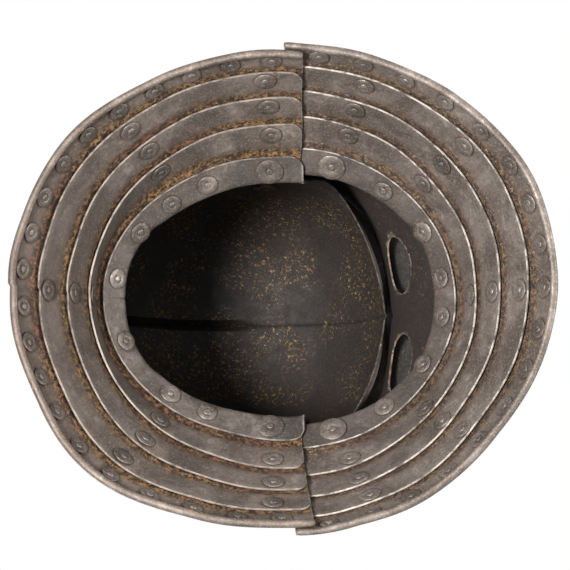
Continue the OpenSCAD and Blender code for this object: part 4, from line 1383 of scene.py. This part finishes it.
def studio_light():
    """Soft light all round, and plain white wherever the camera, glass or metal looks past the helmet."""
    world = bpy.data.worlds.new("studio")
    world.use_nodes = True
    tree = world.node_tree
    tree.nodes.clear()
    path = add(tree, "ShaderNodeLightPath").outputs
    seen = path["Is Camera Ray"]
    for ray in ("Is Transmission Ray", "Is Glossy Ray"):
        seen = add(tree, "ShaderNodeMath", {0: seen, 1: path[ray]}, operation="MAXIMUM").outputs[0]
    soft, white = (
        add(tree, "ShaderNodeBackground", {"Color": (1, 1, 1, 1), "Strength": s}).outputs[0]
        for s in (SOFT_LIGHT, 1.0))
    both = add(tree, "ShaderNodeMixShader", {0: seen, 1: soft, 2: white})
    add(tree, "ShaderNodeOutputWorld", {0: both.outputs[0]})
    return world


def paper_floor():
    """Pale matt paper that turns to plain white further out. Only a camera above it sees it, so the
    camera below looks past it."""
    a, z = FLOOR_HALF, FLOOR_Z
    mesh = bpy.data.meshes.new("floor")
    mesh.from_pydata([(-a, -a, z), (a, -a, z), (a, a, z), (-a, a, z)], [], [(0, 1, 2, 3)])
    paint = bpy.data.materials.new("pale_paper_floor")
    paint.use_nodes = True
    tree = paint.node_tree
    tree.nodes.clear()
    below = add(tree, "ShaderNodeNewGeometry").outputs["Backfacing"]
    camera = add(tree, "ShaderNodeLightPath").outputs["Is Camera Ray"]
    above = add(tree, "ShaderNodeMath", {0: 1.0, 1: below}, operation="SUBTRACT").outputs[0]
    shown = product(tree, above, camera)
    paper = add(tree, "ShaderNodeBsdfDiffuse", {"Color": linear("#A5A4A2")}).outputs[0]
    pale = add(tree, "ShaderNodeEmission", {"Color": linear("#F4F3F1"), "Strength": 0.5}).outputs[0]
    paper = add(tree, "ShaderNodeAddShader", {0: paper, 1: pale}).outputs[0]
    at = add(tree, "ShaderNodeTexCoord").outputs["Object"]
    away = add(tree, "ShaderNodeVectorMath", {0: at}, operation="LENGTH").outputs["Value"]
    far = product(tree, (away, PAPER_NEAR, PAPER_FAR))
    plain = add(tree, "ShaderNodeEmission", {"Color": (1, 1, 1, 1), "Strength": 1.0}).outputs[0]
    paper = add(tree, "ShaderNodeMixShader", {0: far, 1: paper, 2: plain}).outputs[0]
    clear = add(tree, "ShaderNodeBsdfTransparent").outputs[0]
    both = add(tree, "ShaderNodeMixShader", {0: shown, 1: clear, 2: paper}).outputs[0]
    add(tree, "ShaderNodeOutputMaterial", {0: both})
    mesh.materials.append(paint)
    floor = bpy.data.objects.new("floor", mesh)
    bpy.context.scene.collection.objects.link(floor)
    return floor


class HELMET_OT_stage(bpy.types.Operator):
    """Make the pale floor, the white backdrop, the soft lamps and the photograph's camera"""

    bl_idname = "helmet.stage"
    bl_label = "Stage"

    def execute(self, context):
        scene = context.scene
        scene.view_settings.view_transform = "Standard"
        scene.world = studio_light()
        floor = paper_floor()
        for name, (place, aim, size, watts) in LAMPS.items():
            light = bpy.data.lights.new(name, "AREA")
            light.shape, light.size, light.energy = "DISK", size, watts
            lamp = bpy.data.objects.new(name, light)
            scene.collection.objects.link(lamp)
            lamp.location = place
            lamp.rotation_euler = (Vector(aim) - Vector(place)).to_track_quat("-Z", "Y").to_euler()
        # The camera looks up the neck from below, with the face towards the picture's right
        view = bpy.data.cameras.new("photo")
        view.lens, view.sensor_width = LENS, SENSOR
        camera = bpy.data.objects.new("photo", view)
        scene.collection.objects.link(camera)
        back, right = EYE.normalized(), Vector((1, 0, 0))
        turn = Matrix((right, back.cross(right), back)).transposed().to_4x4()
        turn.translation = EYE
        camera.matrix_world = turn
        scene.camera = camera
        return {"FINISHED"}


STEPS = (HELMET_OT_lames, HELMET_OT_skull, HELMET_OT_guard, HELMET_OT_peak, HELMET_OT_rivets,
         HELMET_OT_washers, HELMET_OT_temples, HELMET_OT_stage)


class HELMET_PT_panel(bpy.types.Panel):
    """The helmet's pieces, sizes and colours"""

    bl_idname = "HELMET_PT_panel"
    bl_label = "Helmet"
    bl_space_type = "VIEW_3D"
    bl_region_type = "UI"
    bl_category = "Helmet"

    def draw(self, context):
        for group in (context.scene.helmet_sizes, context.scene.helmet_colours):
            box = self.layout.box()
            for key in group.bl_rna.properties.keys():
                if key not in ("rna_type", "name"):
                    box.prop(group, key)
        for step in STEPS:
            self.layout.operator(step.bl_idname)


CLASSES = (HelmetSizes, HelmetColours, *STEPS, HELMET_PT_panel)


def register():
    for c in CLASSES:
        bpy.utils.register_class(c)
    bpy.types.Scene.helmet_sizes = PointerProperty(type=HelmetSizes)
    bpy.types.Scene.helmet_colours = PointerProperty(type=HelmetColours)


def unregister():
    del bpy.types.Scene.helmet_colours
    del bpy.types.Scene.helmet_sizes
    for c in reversed(CLASSES):
        bpy.utils.unregister_class(c)


def main():
    register()
    for step in STEPS:
        group, name = step.bl_idname.split(".")
        getattr(getattr(bpy.ops, group), name)()


if __name__ == "__main__":
    main()
